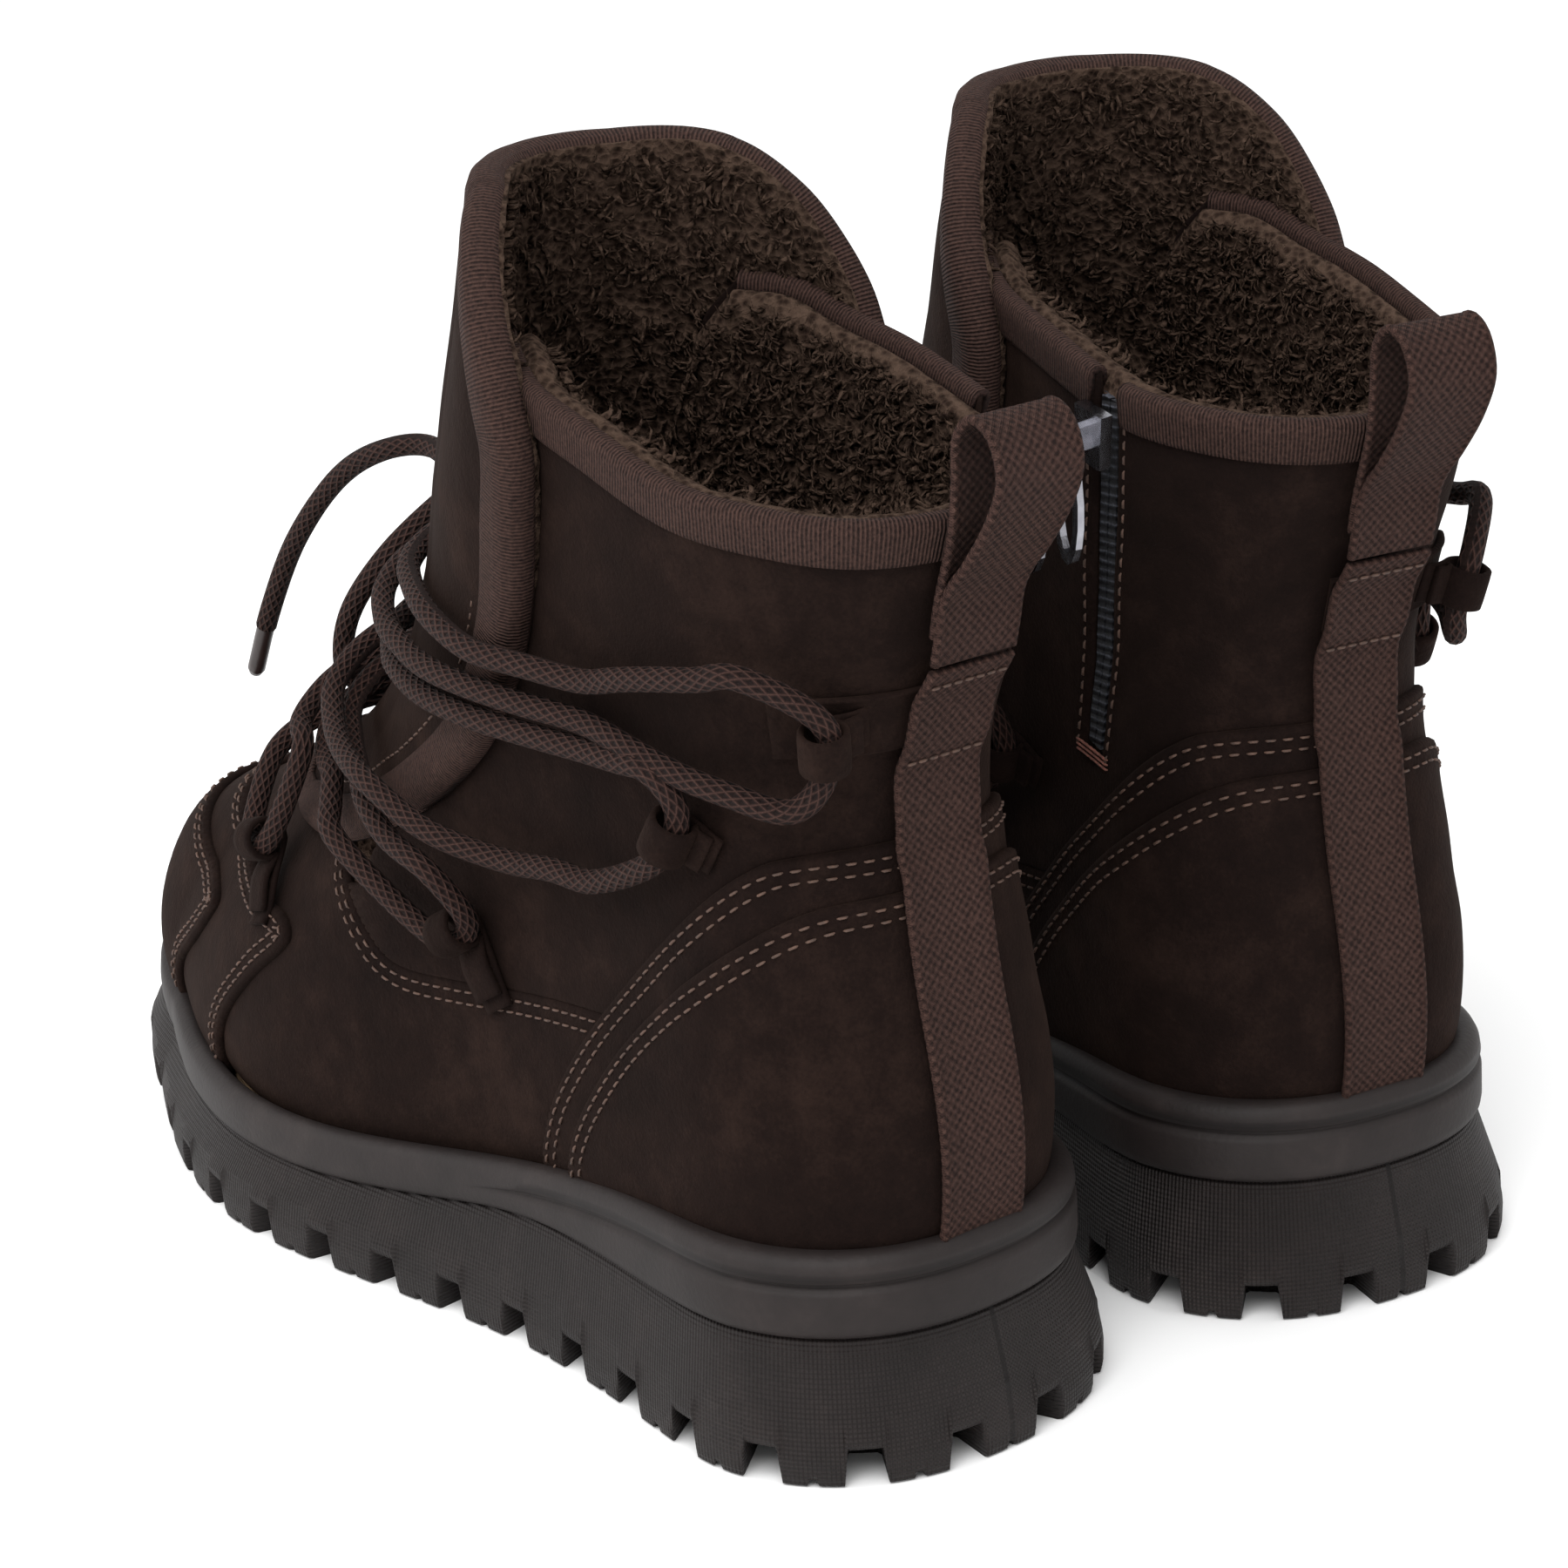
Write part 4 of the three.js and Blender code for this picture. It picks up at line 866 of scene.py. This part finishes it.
TOE_CAP = [(-240, -10), (-236, 7), (-222, 20), (-213, 28), (-211, 31), (-216, 33), (-232, 36), (-250, 41),
           (-262, 46)]
TONGUE = [(-200, 70), (-196, 62), (-186, 57), (-170, 57), (-152, 60), (-135, 65), (-117, 72), (-104, 79), (-92, 88),
          (-82, 101), (-75, 115), (-70, 128), (-66, 142), (-68, 153), (-73, 165), (-79, 177), (-88, 187),
          (-101, 191), (-116, 190), (-130, 186)]
ZIP_TOP = np.array([-30, 137.0])
ZIP_BOTTOM = np.array([-50, 62.0])


def uv_line(places, side=1):
    return locate(spline(places), side)


def to_ridge(edge):
    """Ends a line level at the front ridge, leaving out what lies past it."""
    edge = edge[edge[:, 0] < 0.48]
    ends = [edge]
    if edge[0, 0] > 0.4:
        ends.insert(0, [[0.5, edge[0, 1]]])
    if edge[-1, 0] > 0.4:
        ends.append([[0.5, edge[-1, 1]]])
    return np.vstack(ends)


def both_sides(edge):
    """A line that ends at the ridge, with its mirror image on the inner side."""
    return np.vstack([edge, other_side(edge)[1:]])


def other_side(uv, around_toe=True):
    """The same line on the inner side, run backwards."""
    flipped = np.asarray(uv)[::-1].copy()
    flipped[:, 0] = (1 if around_toe else 0) - flipped[:, 0]
    return flipped


def sole_edge(turn_from, turn_to):
    """The upper's bottom edge between two turns."""
    n = max(int(abs(turn_to - turn_from) * 200), 2)
    return np.stack([np.linspace(turn_from, turn_to, n), np.zeros(n)], -1)


def front_loop(places):
    """A loop round the toe, from an edge that starts at the sole and ends at the ridge."""
    whole = both_sides(to_ridge(uv_line(places)))
    return np.vstack([whole, sole_edge(whole[-1, 0], whole[0, 0])])


def heel_loop(places):
    """A loop round the heel, from an edge that starts at the sole and ends at the back."""
    edge = uv_line(places)
    whole = np.vstack([edge, other_side(edge, False)])
    return np.vstack([whole, sole_edge(whole[-1, 0], whole[0, 0])])


def rise_of(uv):
    p = skin(uv, 0)
    return p[:, 2] - sole_top(p[:, 1])


def tongue_low(uv):
    return GAP + 1.3 * step(112, 134, rise_of(uv))


def tongue_high(uv):
    return tongue_low(uv) + 2.4 + 3.2 * step(60, 112, rise_of(uv))


def seam(first, last, count, side=1):
    """The upright seam between vamp and quarter, from one rise to another."""
    return locate([(SEAM_Y, rise) for rise in np.linspace(first, last, count)], side)


def upright(turn, first, last):
    """A line at one turn, without its ends."""
    return np.stack([np.full(30, turn), np.linspace(first, last, 30)], -1)[1:-1]


SEAM_Y, UNDER = -44, -4
SEAM_FOOT = {side: locate([(SEAM_Y, UNDER)], side)[0, 0] for side in (1, -1)}
vamp_loop = np.vstack([
    both_sides(to_ridge(uv_line(VAMP))), seam(30, -3.5, 12, -1), sole_edge(SEAM_FOOT[-1], SEAM_FOOT[1]),
    seam(-3.5, 30, 12),
])
panel("vamp_leather", vamp_loop, -1.6, 0.05, SUEDE, ("vamp",), "suede")

collar_edge = uv_line(COLLAR)
throat_edge = uv_line(THROAT)
foot_edge = uv_line(VAMP[:7])[::-1] + [0, -0.04]
outer_loop = np.vstack([
    [[0.0, collar_edge[0, 1]]], collar_edge, throat_edge[1:], foot_edge, seam(30, -3.5, 10),
    sole_edge(SEAM_FOOT[1], 0.0), upright(0, 0, collar_edge[0, 1]),
])
panel("outer_quarter_leather", outer_loop, -1.6, 0, SUEDE, ("quarter_outer",), "suede")

ALONG_ZIP = (ZIP_TOP - ZIP_BOTTOM) / np.linalg.norm(ZIP_TOP - ZIP_BOTTOM)
ACROSS_ZIP = np.array([ALONG_ZIP[1], -ALONG_ZIP[0]])  # towards the heel


def zip_side(offset, steps=30):
    """The zip's line on the inner side, moved along the boot by an offset; positive is towards the heel."""
    t = np.linspace(0, 1, steps)[:, None]
    return ZIP_BOTTOM + (ZIP_TOP - ZIP_BOTTOM) * t + ACROSS_ZIP * offset


SLIT = 3.0


collar_line = spline(COLLAR)
beside = (collar_line - ZIP_BOTTOM) @ ACROSS_ZIP
collar_rear, collar_front = collar_line[beside > SLIT], collar_line[beside < -SLIT]
half_turn = np.linspace(math.pi / 2, -math.pi / 2, 7)
tip = ZIP_BOTTOM + np.stack([np.sin(half_turn), -np.cos(half_turn)], -1) * SLIT
inner_places = np.vstack([
    collar_rear, zip_side(SLIT)[::-1][1:], tip, zip_side(-SLIT)[:-1], collar_front, spline(THROAT)[1:],
])
inner_uv = locate(inner_places, -1)
inner_loop = np.vstack([
    [[1.0, inner_uv[0, 1]]], inner_uv, other_side(foot_edge[::-1]), seam(30, -3.5, 10, -1),
    sole_edge(SEAM_FOOT[-1], 1.0), upright(1, 0, inner_uv[0, 1]),
])
panel("inner_quarter_leather", inner_loop, -1.6, 0, SUEDE, ("quarter_inner_front", "quarter_inner_rear"), "suede")
panel("toe_overlay_leather", front_loop(TOE_OVERLAY), -0.1, 1.8, SUEDE, ("toe_overlay",), "suede")
panel("toe_cap_leather", front_loop(TOE_CAP), 1.7, 3.5, SUEDE, ("toe_cap",), "suede")
panel("low_heel_overlay_leather", heel_loop(LOW_OVERLAY), -0.1, 1.8, SUEDE, ("heel_overlay_low",), "suede")
panel("high_heel_overlay_leather", heel_loop(HIGH_OVERLAY), 1.7, 3.5, SUEDE, ("heel_overlay_high",), "suede")

# The tongue: suede outside, fleece inside from the throat up, one piece each across the fold.
tongue_loop = both_sides(to_ridge(uv_line(TONGUE)))


def split_height(uv):
    share = step(85, 105, rise_of(uv))
    return tongue_low(uv) + (tongue_high(uv) - tongue_low(uv) - 2.2) * share


def puff(uv, distance):
    return 1.2 * step(2, 16, distance) * step(100, 135, rise_of(uv))


panel("tongue_leather", tongue_loop, split_height, tongue_high, SUEDE, ("tongue_base", "tongue_flap"), "suede",
      fold=True, lumps=puff)
FLEECE_FOOT = [(-150, 96), (-130, 97), (-110, 99), (-92, 101), (-82, 107)]
fleece_loop = both_sides(to_ridge(uv_line(FLEECE_FOOT + TONGUE[10:])))


def pile(uv):
    """The unevenness of fleece."""
    turn, v = uv[:, 0] * 6.28, uv[:, 1]
    return 0.5 * np.sin(turn * 23 + 3 * np.sin(v * 5)) * np.sin(v * 9 + 2 * np.sin(turn * 17))


def tongue_pile(uv):
    return tongue_low(uv) - 1.0 * step(100, 125, rise_of(uv)) + 0.6 * pile(uv)


panel("tongue_fleece", fleece_loop, tongue_pile, lambda uv: split_height(uv) - 0.05, FLEECE, (), "fleece", fold=True,
      spacing=2.2)

# The fleece lining, with a rounded top edge.
lining_top = locate(collar_line - [0, 1.0])
lining_side = np.vstack([lining_top, throat_edge[8:], uv_line([(-150, 60), (-158, 72), (-166, 95)])[1:]])
back_top = lining_top[0, 1]
lining_loop = np.vstack([
    [[0.0, back_top]], lining_side, other_side(lining_side), [[1.0, back_top]],
    upright(1, back_top, 0), sole_edge(1, 0), upright(0, 0, back_top),
])


def lining_low(uv):
    return -9 + 0.7 * pile(uv)


panel("lining_fleece", lining_loop, lining_low, -1.7, FLEECE, ("lining",), "fleece", soft=3.0, roll=0.45)
CURL_LENGTH = (2.0, 4.2)


def tufts(name, loop, depth, count, seed, fold=False):
    """Curls of pile standing on the inside of a fleece: three-sided, bent and tapered."""
    rng = np.random.default_rng(seed)
    uv = rng.uniform(loop.min(0), loop.max(0), (count * 12, 2))
    uv = uv[inside(uv, loop)]
    width = np.linalg.norm(skin(uv + [0.002, 0], 0) - skin(uv - [0.002, 0], 0), axis=1)
    uv = uv[rng.uniform(0, width.max(), len(uv)) < width][:count]
    n = -normal(uv[:, 1], uv[:, 0])
    root = skin(uv, depth(uv))
    lean = rng.normal(size=root.shape)
    lean -= n * (lean * n).sum(1)[:, None]
    lean /= np.linalg.norm(lean, axis=1)[:, None]
    side = np.cross(n, lean)
    tall = rng.uniform(*CURL_LENGTH, len(uv))[:, None]
    thick = rng.uniform(0.45, 0.85, len(uv))[:, None]
    rings = []
    for up, over_by, wide in ((-0.15, 0.0, 1.0), (0.35, 0.12, 0.9), (0.62, 0.5, 0.6), (0.55, 0.95, 0.15)):
        for k in range(3):
            a = k * 2 * math.pi / 3
            spoke = lean * math.cos(a) + side * math.sin(a)
            rings.append(root + (n * up + lean * over_by) * tall + spoke * thick * wide)
    points = np.stack(rings, 1).reshape(-1, 3)
    faces = [tuple(i * 12 + k for k in f) for i in range(len(uv)) for f in prism(3, 4)]
    put(name, points, faces, FLEECE, fold=fold)


tuft_top = locate(collar_line - [0, 2.5])
tuft_loop = np.vstack([
    [[0.0, tuft_top[0, 1]]], tuft_top, uv_line([(-100, 150), (-106, 118), (-118, 92)]),
    locate([(-118, 92), (-60, 80), (4, 70)]), [[0.0, 6.0]],
])
tuft_other = tuft_loop.copy()
tuft_other[:, 0] = 1 - tuft_other[:, 0]
tufts("lining_curls_outer", tuft_loop, lining_low, 3600, 2)
tufts("lining_curls_inner", tuft_other, lining_low, 3600, 3)
tufts("tongue_curls", inset(fleece_loop, 2.0), tongue_pile, 2600, 4, fold=True)


# Bindings: closed strips folded over an edge; the profile is (distance in from the edge, offset).
def binding(name, edge, profile, nodes, fold=False):
    edge = resample_uv(edge, 1.6)
    base = swell(edge)
    across = length_of([(d, offsets(o, edge)[0], 0) for d, o in profile])
    rows = []
    for d, o in profile:
        uv = inset(edge, d)
        uv[:, 1] = np.clip(uv[:, 1], 0, TOP)
        rows.append(skin(uv, offsets(o, uv) + base))
    grid_piece(name, np.stack(rows, 1), RIBBED, nodes, "tape", unrolled(length_of(skin(edge, 0)), across), fold=fold)


COLLAR_PROFILE = [(7.5, 0.1), (7.4, 0.9), (6.5, 1.15), (3, 1.3), (1, 1.45), (-0.6, 1.0), (-1.2, -0.2), (-0.9, -1.8),
                  (0.2, -2.7), (4, -2.9), (4, -2.1), (0.8, -1.8), (0.2, 0.0), (4, 0.1)]


def flipped(profile):
    return [(-d, o) for d, o in profile]


binding("outer_collar_binding", collar_edge, COLLAR_PROFILE, ("collar_binding",))
binding("inner_collar_binding_rear", locate(collar_rear, -1), flipped(COLLAR_PROFILE), ())
binding("inner_collar_binding_front", locate(collar_front, -1), flipped(COLLAR_PROFILE), ())


def over_tongue(extra):
    return lambda uv: tongue_high(uv) + extra


def under_tongue(extra):
    return lambda uv: tongue_low(uv) + extra


TONGUE_PROFILE = [
    *((d, over_tongue(o)) for d, o in ((8.5, 0.1), (8.3, 0.8), (7, 1.1), (3, 1.15), (1, 0.7))),
    *((d, over_tongue(o)) for d, o in ((-0.5, -0.6), (-1.1, -2.4))),
    *((d, under_tongue(o)) for d, o in ((-0.9, 0.9), (0.3, -0.5), (3, -0.7), (5, -0.6), (5, 0.4), (1, 0.6))),
    *((d, over_tongue(o)) for d, o in ((0.4, -1.2), (3, -0.2))),
]
binding("tongue_edge_binding", tongue_loop, TONGUE_PROFILE, ("tongue_binding",), fold=True)

# ---------------------------------------------------------------------------------------------------------------
# Sole.
SOLE_KNOTS = [0.1, 0.34, 0.66, 0.88]
SOLE_HALF = [44.5, 40.05, 50.5, 39.39]
SOLE_TOE = -279.0
SOLE_BACK = 6


def sole_ring(angle, inset_by):
    share = (1 - np.cos(angle)) / 2
    back_end, front_end = SOLE_BACK - inset_by, SOLE_TOE + inset_by
    y = back_end + (front_end - back_end) * share
    half = smooth(SOLE_KNOTS, SOLE_HALF, share) - inset_by

    closed = rounding(back_end - y, 44.0) * rounding(y - front_end, 68.0)
    return np.stack([np.sign(np.sin(angle)) * half * closed - 5 * step(0.6, 1, share), y], -1)


LUGS, NOTCH, LUG_DEPTH = 34, 6.4, 7.0
FLANK = 0.9  # the slope between a notch and a lug
fine = np.linspace(0, 2 * math.pi, 4001)
rim_length = length_of(np.c_[sole_ring(fine, 0), np.zeros(len(fine))])
pitch = rim_length[-1] / LUGS
stations, depths, nicks = [], [], []  # for each place round the rim, the notch's depth, and 1 in a lug's nick
for i in range(LUGS):
    middle = (i + 0.5) * pitch
    for at, deep in ((-0.5, 1), (-0.2, 1), (0.2, 1), (0.5, 1), (0.5 + FLANK / NOTCH, 0)):
        stations.append(middle + at * NOTCH)
        depths.append(LUG_DEPTH * deep)
        nicks.append(0)
    for share in (0.2, 0.4, 0.45, 0.55, 0.6, 0.8, 1.0):
        stations.append(middle + NOTCH / 2 + FLANK + (pitch - NOTCH - 2 * FLANK) * share)
        depths.append(0)
        nicks.append(1 if share in (0.45, 0.55) else 0)
stations = np.array(stations) % rim_length[-1]
order = np.argsort(stations)
stations, depths, nicks = stations[order], np.array(depths)[order], np.array(nicks)[order]
angle = np.interp(stations, rim_length, fine)


def tread_top(y):
    """Height of the groove between tread and rand."""
    return sole_top(y) - 10 - 6 * step(-110, -40, y)


def ring_at(angle, inset_by, reach):
    """The sole's outline moved inwards, by one distance or by one for each point; reach is the farthest."""
    xy = sole_ring(angle, 0.0)
    return xy + (sole_ring(angle, reach) - xy) * (np.asarray(inset_by, float) / reach)[..., None]


def sole_row(inset_by, height):
    """A ring of the sole; height is a number above the toe's lift, or a function of y."""
    xy = ring_at(angle, inset_by, 11.0) if np.ndim(inset_by) else sole_ring(angle, inset_by)
    z = height(xy[:, 1]) if callable(height) else toe_lift(xy[:, 1]) + height
    return np.c_[xy, z]


def nicked(nick, other):
    return np.where(nicks > 0, nick, other)


rows = [
    sole_row(26.0, 3.0), sole_row(24.0, 0.6), sole_row(11.5, 0.0),
    sole_row(np.where(nicks > 0, 3.0, 10.6), nicked(1.1, depths)),
    sole_row(1.6, nicked(1.1, depths)),
    sole_row(0.5, nicked(1.1, depths) + 0.5),
    sole_row(0.1, np.maximum(nicked(1.2, depths) + 1.3, 2.2)),
    sole_row(0.0, np.maximum(nicked(2.0, depths) + 2.0, 5.2)),
    sole_row(0.05, np.maximum(depths + 2.6, 6.2)),
]
for share in (0.2, 0.4, 0.6, 0.8, 0.96):
    y = sole_ring(angle, 0.0)[:, 1]
    start = toe_lift(y) + 9.6
    rows.append(np.c_[sole_ring(angle, 4.5 * share), start + (tread_top(y) - start) * share])
rows += [sole_row(4.9, tread_top), sole_row(9.0, tread_top), sole_row(12.0, lambda y: tread_top(y) - 0.4)]
rows = np.array(rows)
flat = np.stack([np.repeat(stations[None], len(rows), 0), rows[:, :, 2]], -1) / 1000
grid_piece("tread", rows, WALL, ("outsole",), "rubber", flat)

smooth_angle = np.linspace(0, 2 * math.pi, 321)[:-1]


def band_row(inset_by, height):
    """A ring of the rand, inset by a number or a function of y."""
    xy = sole_ring(smooth_angle, 0.0)
    xy = ring_at(smooth_angle, offsets(inset_by, xy[:, 1]), 8.0)
    return np.c_[xy, height(xy[:, 1])]


def heel_part(y):
    return step(-112, -88, y)


GROOVE = ((-1.8, 0), (-0.9, 0.3), (-0.3, 1.3), (0.3, 1.3), (0.9, 0.1), (1.8, 0))


def groove_height(y, t):
    """Height of the rand's groove, which fades out ahead of the heel."""
    return tread_top(y) + 3.0 + (sole_top(y) - tread_top(y) - 10.0) + t * (0.3 + 0.7 * heel_part(y)) + 1.2


FOOT = ((0.1, 9), (0.15, 4.9), (0.4, 3.9), (1.2, 3.4), (2.6, 3.2))
rows = [band_row(out, lambda y: tread_top(y) + t) for t, out in FOOT]
rows += [
    band_row(lambda y: 3.2 + (deep + 0.2 * (t > 0)) * heel_part(y), lambda y: groove_height(y, t))
    for t, deep in GROOVE
]
for drop, out in ((4.2, 3.3), (2.4, 3.5), (1.2, 4.0), (0.4, 4.8), (0.0, 5.8), (0.1, 7.0)):
    rows.append(band_row(out, lambda y: sole_top(y) - drop))
# From the rim inwards to the upper, and down beside it.
seat = skin(np.stack([smooth_angle / (2 * math.pi), np.full(len(smooth_angle), 0.75)], -1), 0.6)[:, :2]
rim = rows[-1][:, :2]
rows.append(np.c_[(rim + seat) / 2, sole_top(rim[:, 1]) - 0.5])
rows += [np.c_[seat, sole_top(seat[:, 1]) - drop] for drop in (1.4, 6.0)]
rows = np.array(rows)
flat = np.stack([np.repeat(length_of(rows[2])[None], len(rows), 0), rows[:, :, 2]], -1) / 1000
grid_piece("rand", rows, BAND, ("midsole",), "rubber", flat)

# ---------------------------------------------------------------------------------------------------------------
# Webbing, pull loop and strap.
def ribbon(name, path, across, half, thick, material, nodes, slot, **extra):
    """A strip of webbing or suede, with a raised selvage along both edges."""
    across = np.broadcast_to(np.asarray(across, float), path.shape)
    up = np.cross(across, tangents(path))
    top = [(-1, 0), (-0.97, 0.5), (-0.9, 0.62), (-0.86, 0.45), (0.86, 0.45), (0.9, 0.62), (0.97, 0.5)]
    section = top + [(-a, -h) for a, h in top]
    rows = np.stack([path + across * half * a + up * thick * h for a, h in section], 1)
    flat = unrolled(length_of(path), [a * half for a, _ in section])
    grid_piece(name, rows, material, nodes, slot, flat, **extra)


HEEL_TURN = 1e-4  # the middle of the back, where the turn is near nothing


def heel_line(rises, lifts):
    """Points up the middle of the back."""
    v = np.interp(rises, column(KNOTS, 1), KNOTS)
    return skin(np.stack([np.full(len(v), HEEL_TURN), v], -1), lifts)


TAPE_HALF = 9.5
rises = np.linspace(0.5, 107.5, 90)
lifts = smooth([60, 66, 71, 77, 86, 92, 100, 104, 108], [4.3, 4.2, 2.9, 2.7, 1.6, 2.8, 2.8, 4.0, 5.1], rises) + 0.35
ribbon("heel_tape", heel_line(rises, lifts), (1, 0, 0), TAPE_HALF, 1.5, WEBBING, ("heel_webbing",), "tape")
PULL = [(5.2, 107.0), (6.6, 112), (8.2, 118), (11.2, 122.5), (14.6, 126), (20.8, 134), (24.4, 142), (22.6, 149),
        (17.9, 151.6), (13.9, 148), (13.0, 140.5), (12.0, 133.2), (10.2, 127.2), (7.2, 119), (5.4, 112)]
pull_path = spline([(y, sole_top(y) + r) for y, r in PULL], 1.2)
ribbon("heel_pull", np.c_[np.zeros(len(pull_path)), pull_path], (1, 0, 0), TAPE_HALF, 1.4, WEBBING, ("pull_loop",),
       "tape", body="pull_loop")
strap_line = locate([(y, 96) for y in np.linspace(-18, -4, 10)])
strap_turns = np.concatenate([np.linspace(-0.021, strap_line[-1, 0], 14)[:-1], strap_line[::-1, 0]])
strap_v = np.interp(strap_turns, np.r_[0.0, strap_line[::-1, 0]], np.r_[strap_line[-1, 1], strap_line[::-1, 1]])
strap_path = skin(np.stack([strap_turns, strap_v], -1), 0.95)
strap_across = np.cross(normal(strap_v, strap_turns), tangents(strap_path))
ribbon("heel_strap", strap_path, strap_across, 6.0, 1.2, SUEDE, ("heel_lace_strap",), "suede")


# ---------------------------------------------------------------------------------------------------------------
# Stitches: short round-ended threads along a line of (turn, v), all in one mesh.
STITCHES = {"boot": ([], []), "tongue": ([], []), "tack": ([], []), "tape": ([], [])}
THREADS = {"boot": THREAD, "tongue": THREAD, "tack": TACK, "tape": THREAD}
SIDES = 6
# The rings of a stitch: share of its length, share of its radius, lift.
SUNK_ENDS = ((-0.5, 0.45, -0.25), (-0.3, 1.0, 0.12), (0.3, 1.0, 0.12), (0.5, 0.45, -0.25))
LEVEL_ENDS = ((-0.5, 0.5, 0), (-1 / 3, 1.0, 0), (1 / 3, 1.0, 0), (0.5, 0.5, 0))


def stitch(group, centre, along, side, out, length=2.1, radius=0.27, rings=SUNK_ENDS):
    points, faces = STITCHES[group]
    base = len(points)
    for share, wide, lift in rings:
        for a in np.arange(SIDES) / SIDES * 2 * math.pi:
            spoke = side * math.cos(a) + out * math.sin(a)
            points.append(centre + along * share * length + spoke * radius * wide + out * lift)
    faces += [tuple(base + k for k in f) for f in prism(SIDES, len(rings))]


def stitch_row(edge, offset, pitch=3.1, group="boot", rows=(2.0, 4.4)):
    """Rows of stitches to the left of an edge; negative rows lie to its right."""
    for d in rows:
        uv = resample_uv(inset(edge, d), pitch)
        uv = uv[uv[:, 1] > 0.15]
        if len(uv) < 3:
            continue
        p = skin(uv, offsets(offset, uv) + swell(uv))
        n = normal(uv[:, 1], uv[:, 0])
        t = tangents(p)
        for centre, along, side, out in zip(p, t, np.cross(n, t), n):
            stitch(group, centre, along, side, out)


def mirrored_rows(places, offset, way=1, rows=(2.0, 4.4), **extra):
    """Rows on both sides of the boot; way is the sign that leads inwards."""
    edge = uv_line(places)
    rows = [way * d for d in rows]
    if edge[-1, 0] > 0.4:
        stitch_row(both_sides(to_ridge(edge)), offset, rows=rows, **extra)
        return
    stitch_row(edge, offset, rows=rows, **extra)
    stitch_row(other_side(edge), offset, rows=rows, **extra)


mirrored_rows(TOE_CAP, 3.6)
mirrored_rows(TOE_OVERLAY, 1.9)
mirrored_rows(LOW_OVERLAY[:-1], 1.9, -1)
mirrored_rows(HIGH_OVERLAY[:-1], 3.6, -1)
mirrored_rows(VAMP[1:8], 0.15)
mirrored_rows(THROAT[:-2], 0.1, rows=(3.0, 5.6))
mirrored_rows(TONGUE, tongue_high, rows=(11.5,), group="tongue")
for beside in (SLIT + 2.2, -SLIT - 2.2):
    stitch_row(locate(zip_side(beside), -1), 0.1, rows=(0.0,))
for drop in (0.0, 1.0, 2.0):
    stitch_row(locate([(-45.5, 61 - drop), (-54.5, 63.4 - drop)], -1), 0.2, pitch=1.5, group="tack", rows=(0.0,))
# Rows of stitches across the heel tape, over the strap and at the foot of the pull loop.
for rise in (88.5, 104.5):
    middle = heel_line([rise], float(np.interp(rise, rises, lifts)) + 1.0)[0]
    for x in np.arange(-7.5, 7.6, 2.5):
        stitch("tape", middle + [x, 0, 0], *np.eye(3), 1.8, 0.3, LEVEL_ENDS)
for group, (points, faces) in STITCHES.items():
    faces = fix_out(np.array(points), faces) if group == "tape" else faces
    put(f"{group}_stitches", points, faces, THREADS[group], fold=group == "tongue")

# ---------------------------------------------------------------------------------------------------------------
# CAD nodes that keep their shape.
for side in ("left", "right"):
    for node, material in (("shank", STEEL), ("insole_board", BOARD), ("footbed", FLEECE), ("heel_counter", BOARD),
                           ("zip_stringer_front", TAPE), ("zip_stringer_rear", TAPE), ("zip_slider", NICKEL),
                           ("zip_pull", NICKEL)):
        obj = bpy.data.objects[f"{side}_{node}"]
        obj.data.materials.clear()
        obj.data.materials.append(material)

# ---------------------------------------------------------------------------------------------------------------
# Floor and light.
FLOOR_HALF = 6
mesh = bpy.data.meshes.new("floor")
corners = [(x * FLOOR_HALF, y * FLOOR_HALF, 0) for x, y in ((-1, -1), (1, -1), (1, 1), (-1, 1))]
mesh.from_pydata(corners, [], [(0, 1, 2, 3)])
floor_mat = bpy.data.materials.new("floor")
floor_mat.use_nodes = True
inputs = floor_mat.node_tree.nodes["Principled BSDF"].inputs
inputs["Base Color"].default_value = (1, 1, 1, 1)
inputs["Roughness"].default_value = 1.0
inputs["Specular IOR Level"].default_value = 0.0
mesh.materials.append(floor_mat)
floor = linked("floor", mesh)

world = bpy.data.worlds.new("studio")
bpy.context.scene.world = world
world.use_nodes = True
world.node_tree.nodes["Background"].inputs[0].default_value = (1, 1, 1, 1)
world.node_tree.nodes["Background"].inputs[1].default_value = 1.0


def lamp(name, place, size, power, aim=(0, 0, 0.1)):
    """A square area light, in metres and watts."""
    data = bpy.data.lights.new(name, "AREA")
    data.size = size
    data.energy = power
    way = Vector(aim) - Vector(place)
    turn = way.to_track_quat("-Z", "Y").to_matrix().to_4x4()
    linked(name, data).matrix_world = Matrix.Translation(Vector(place)) @ turn


lamp("key", (0.9, 0.9, 1.6), 1.2, 26)
lamp("fill", (1.4, -0.6, 0.9), 1.2, 10)
bpy.context.scene.view_settings.view_transform = "Standard"
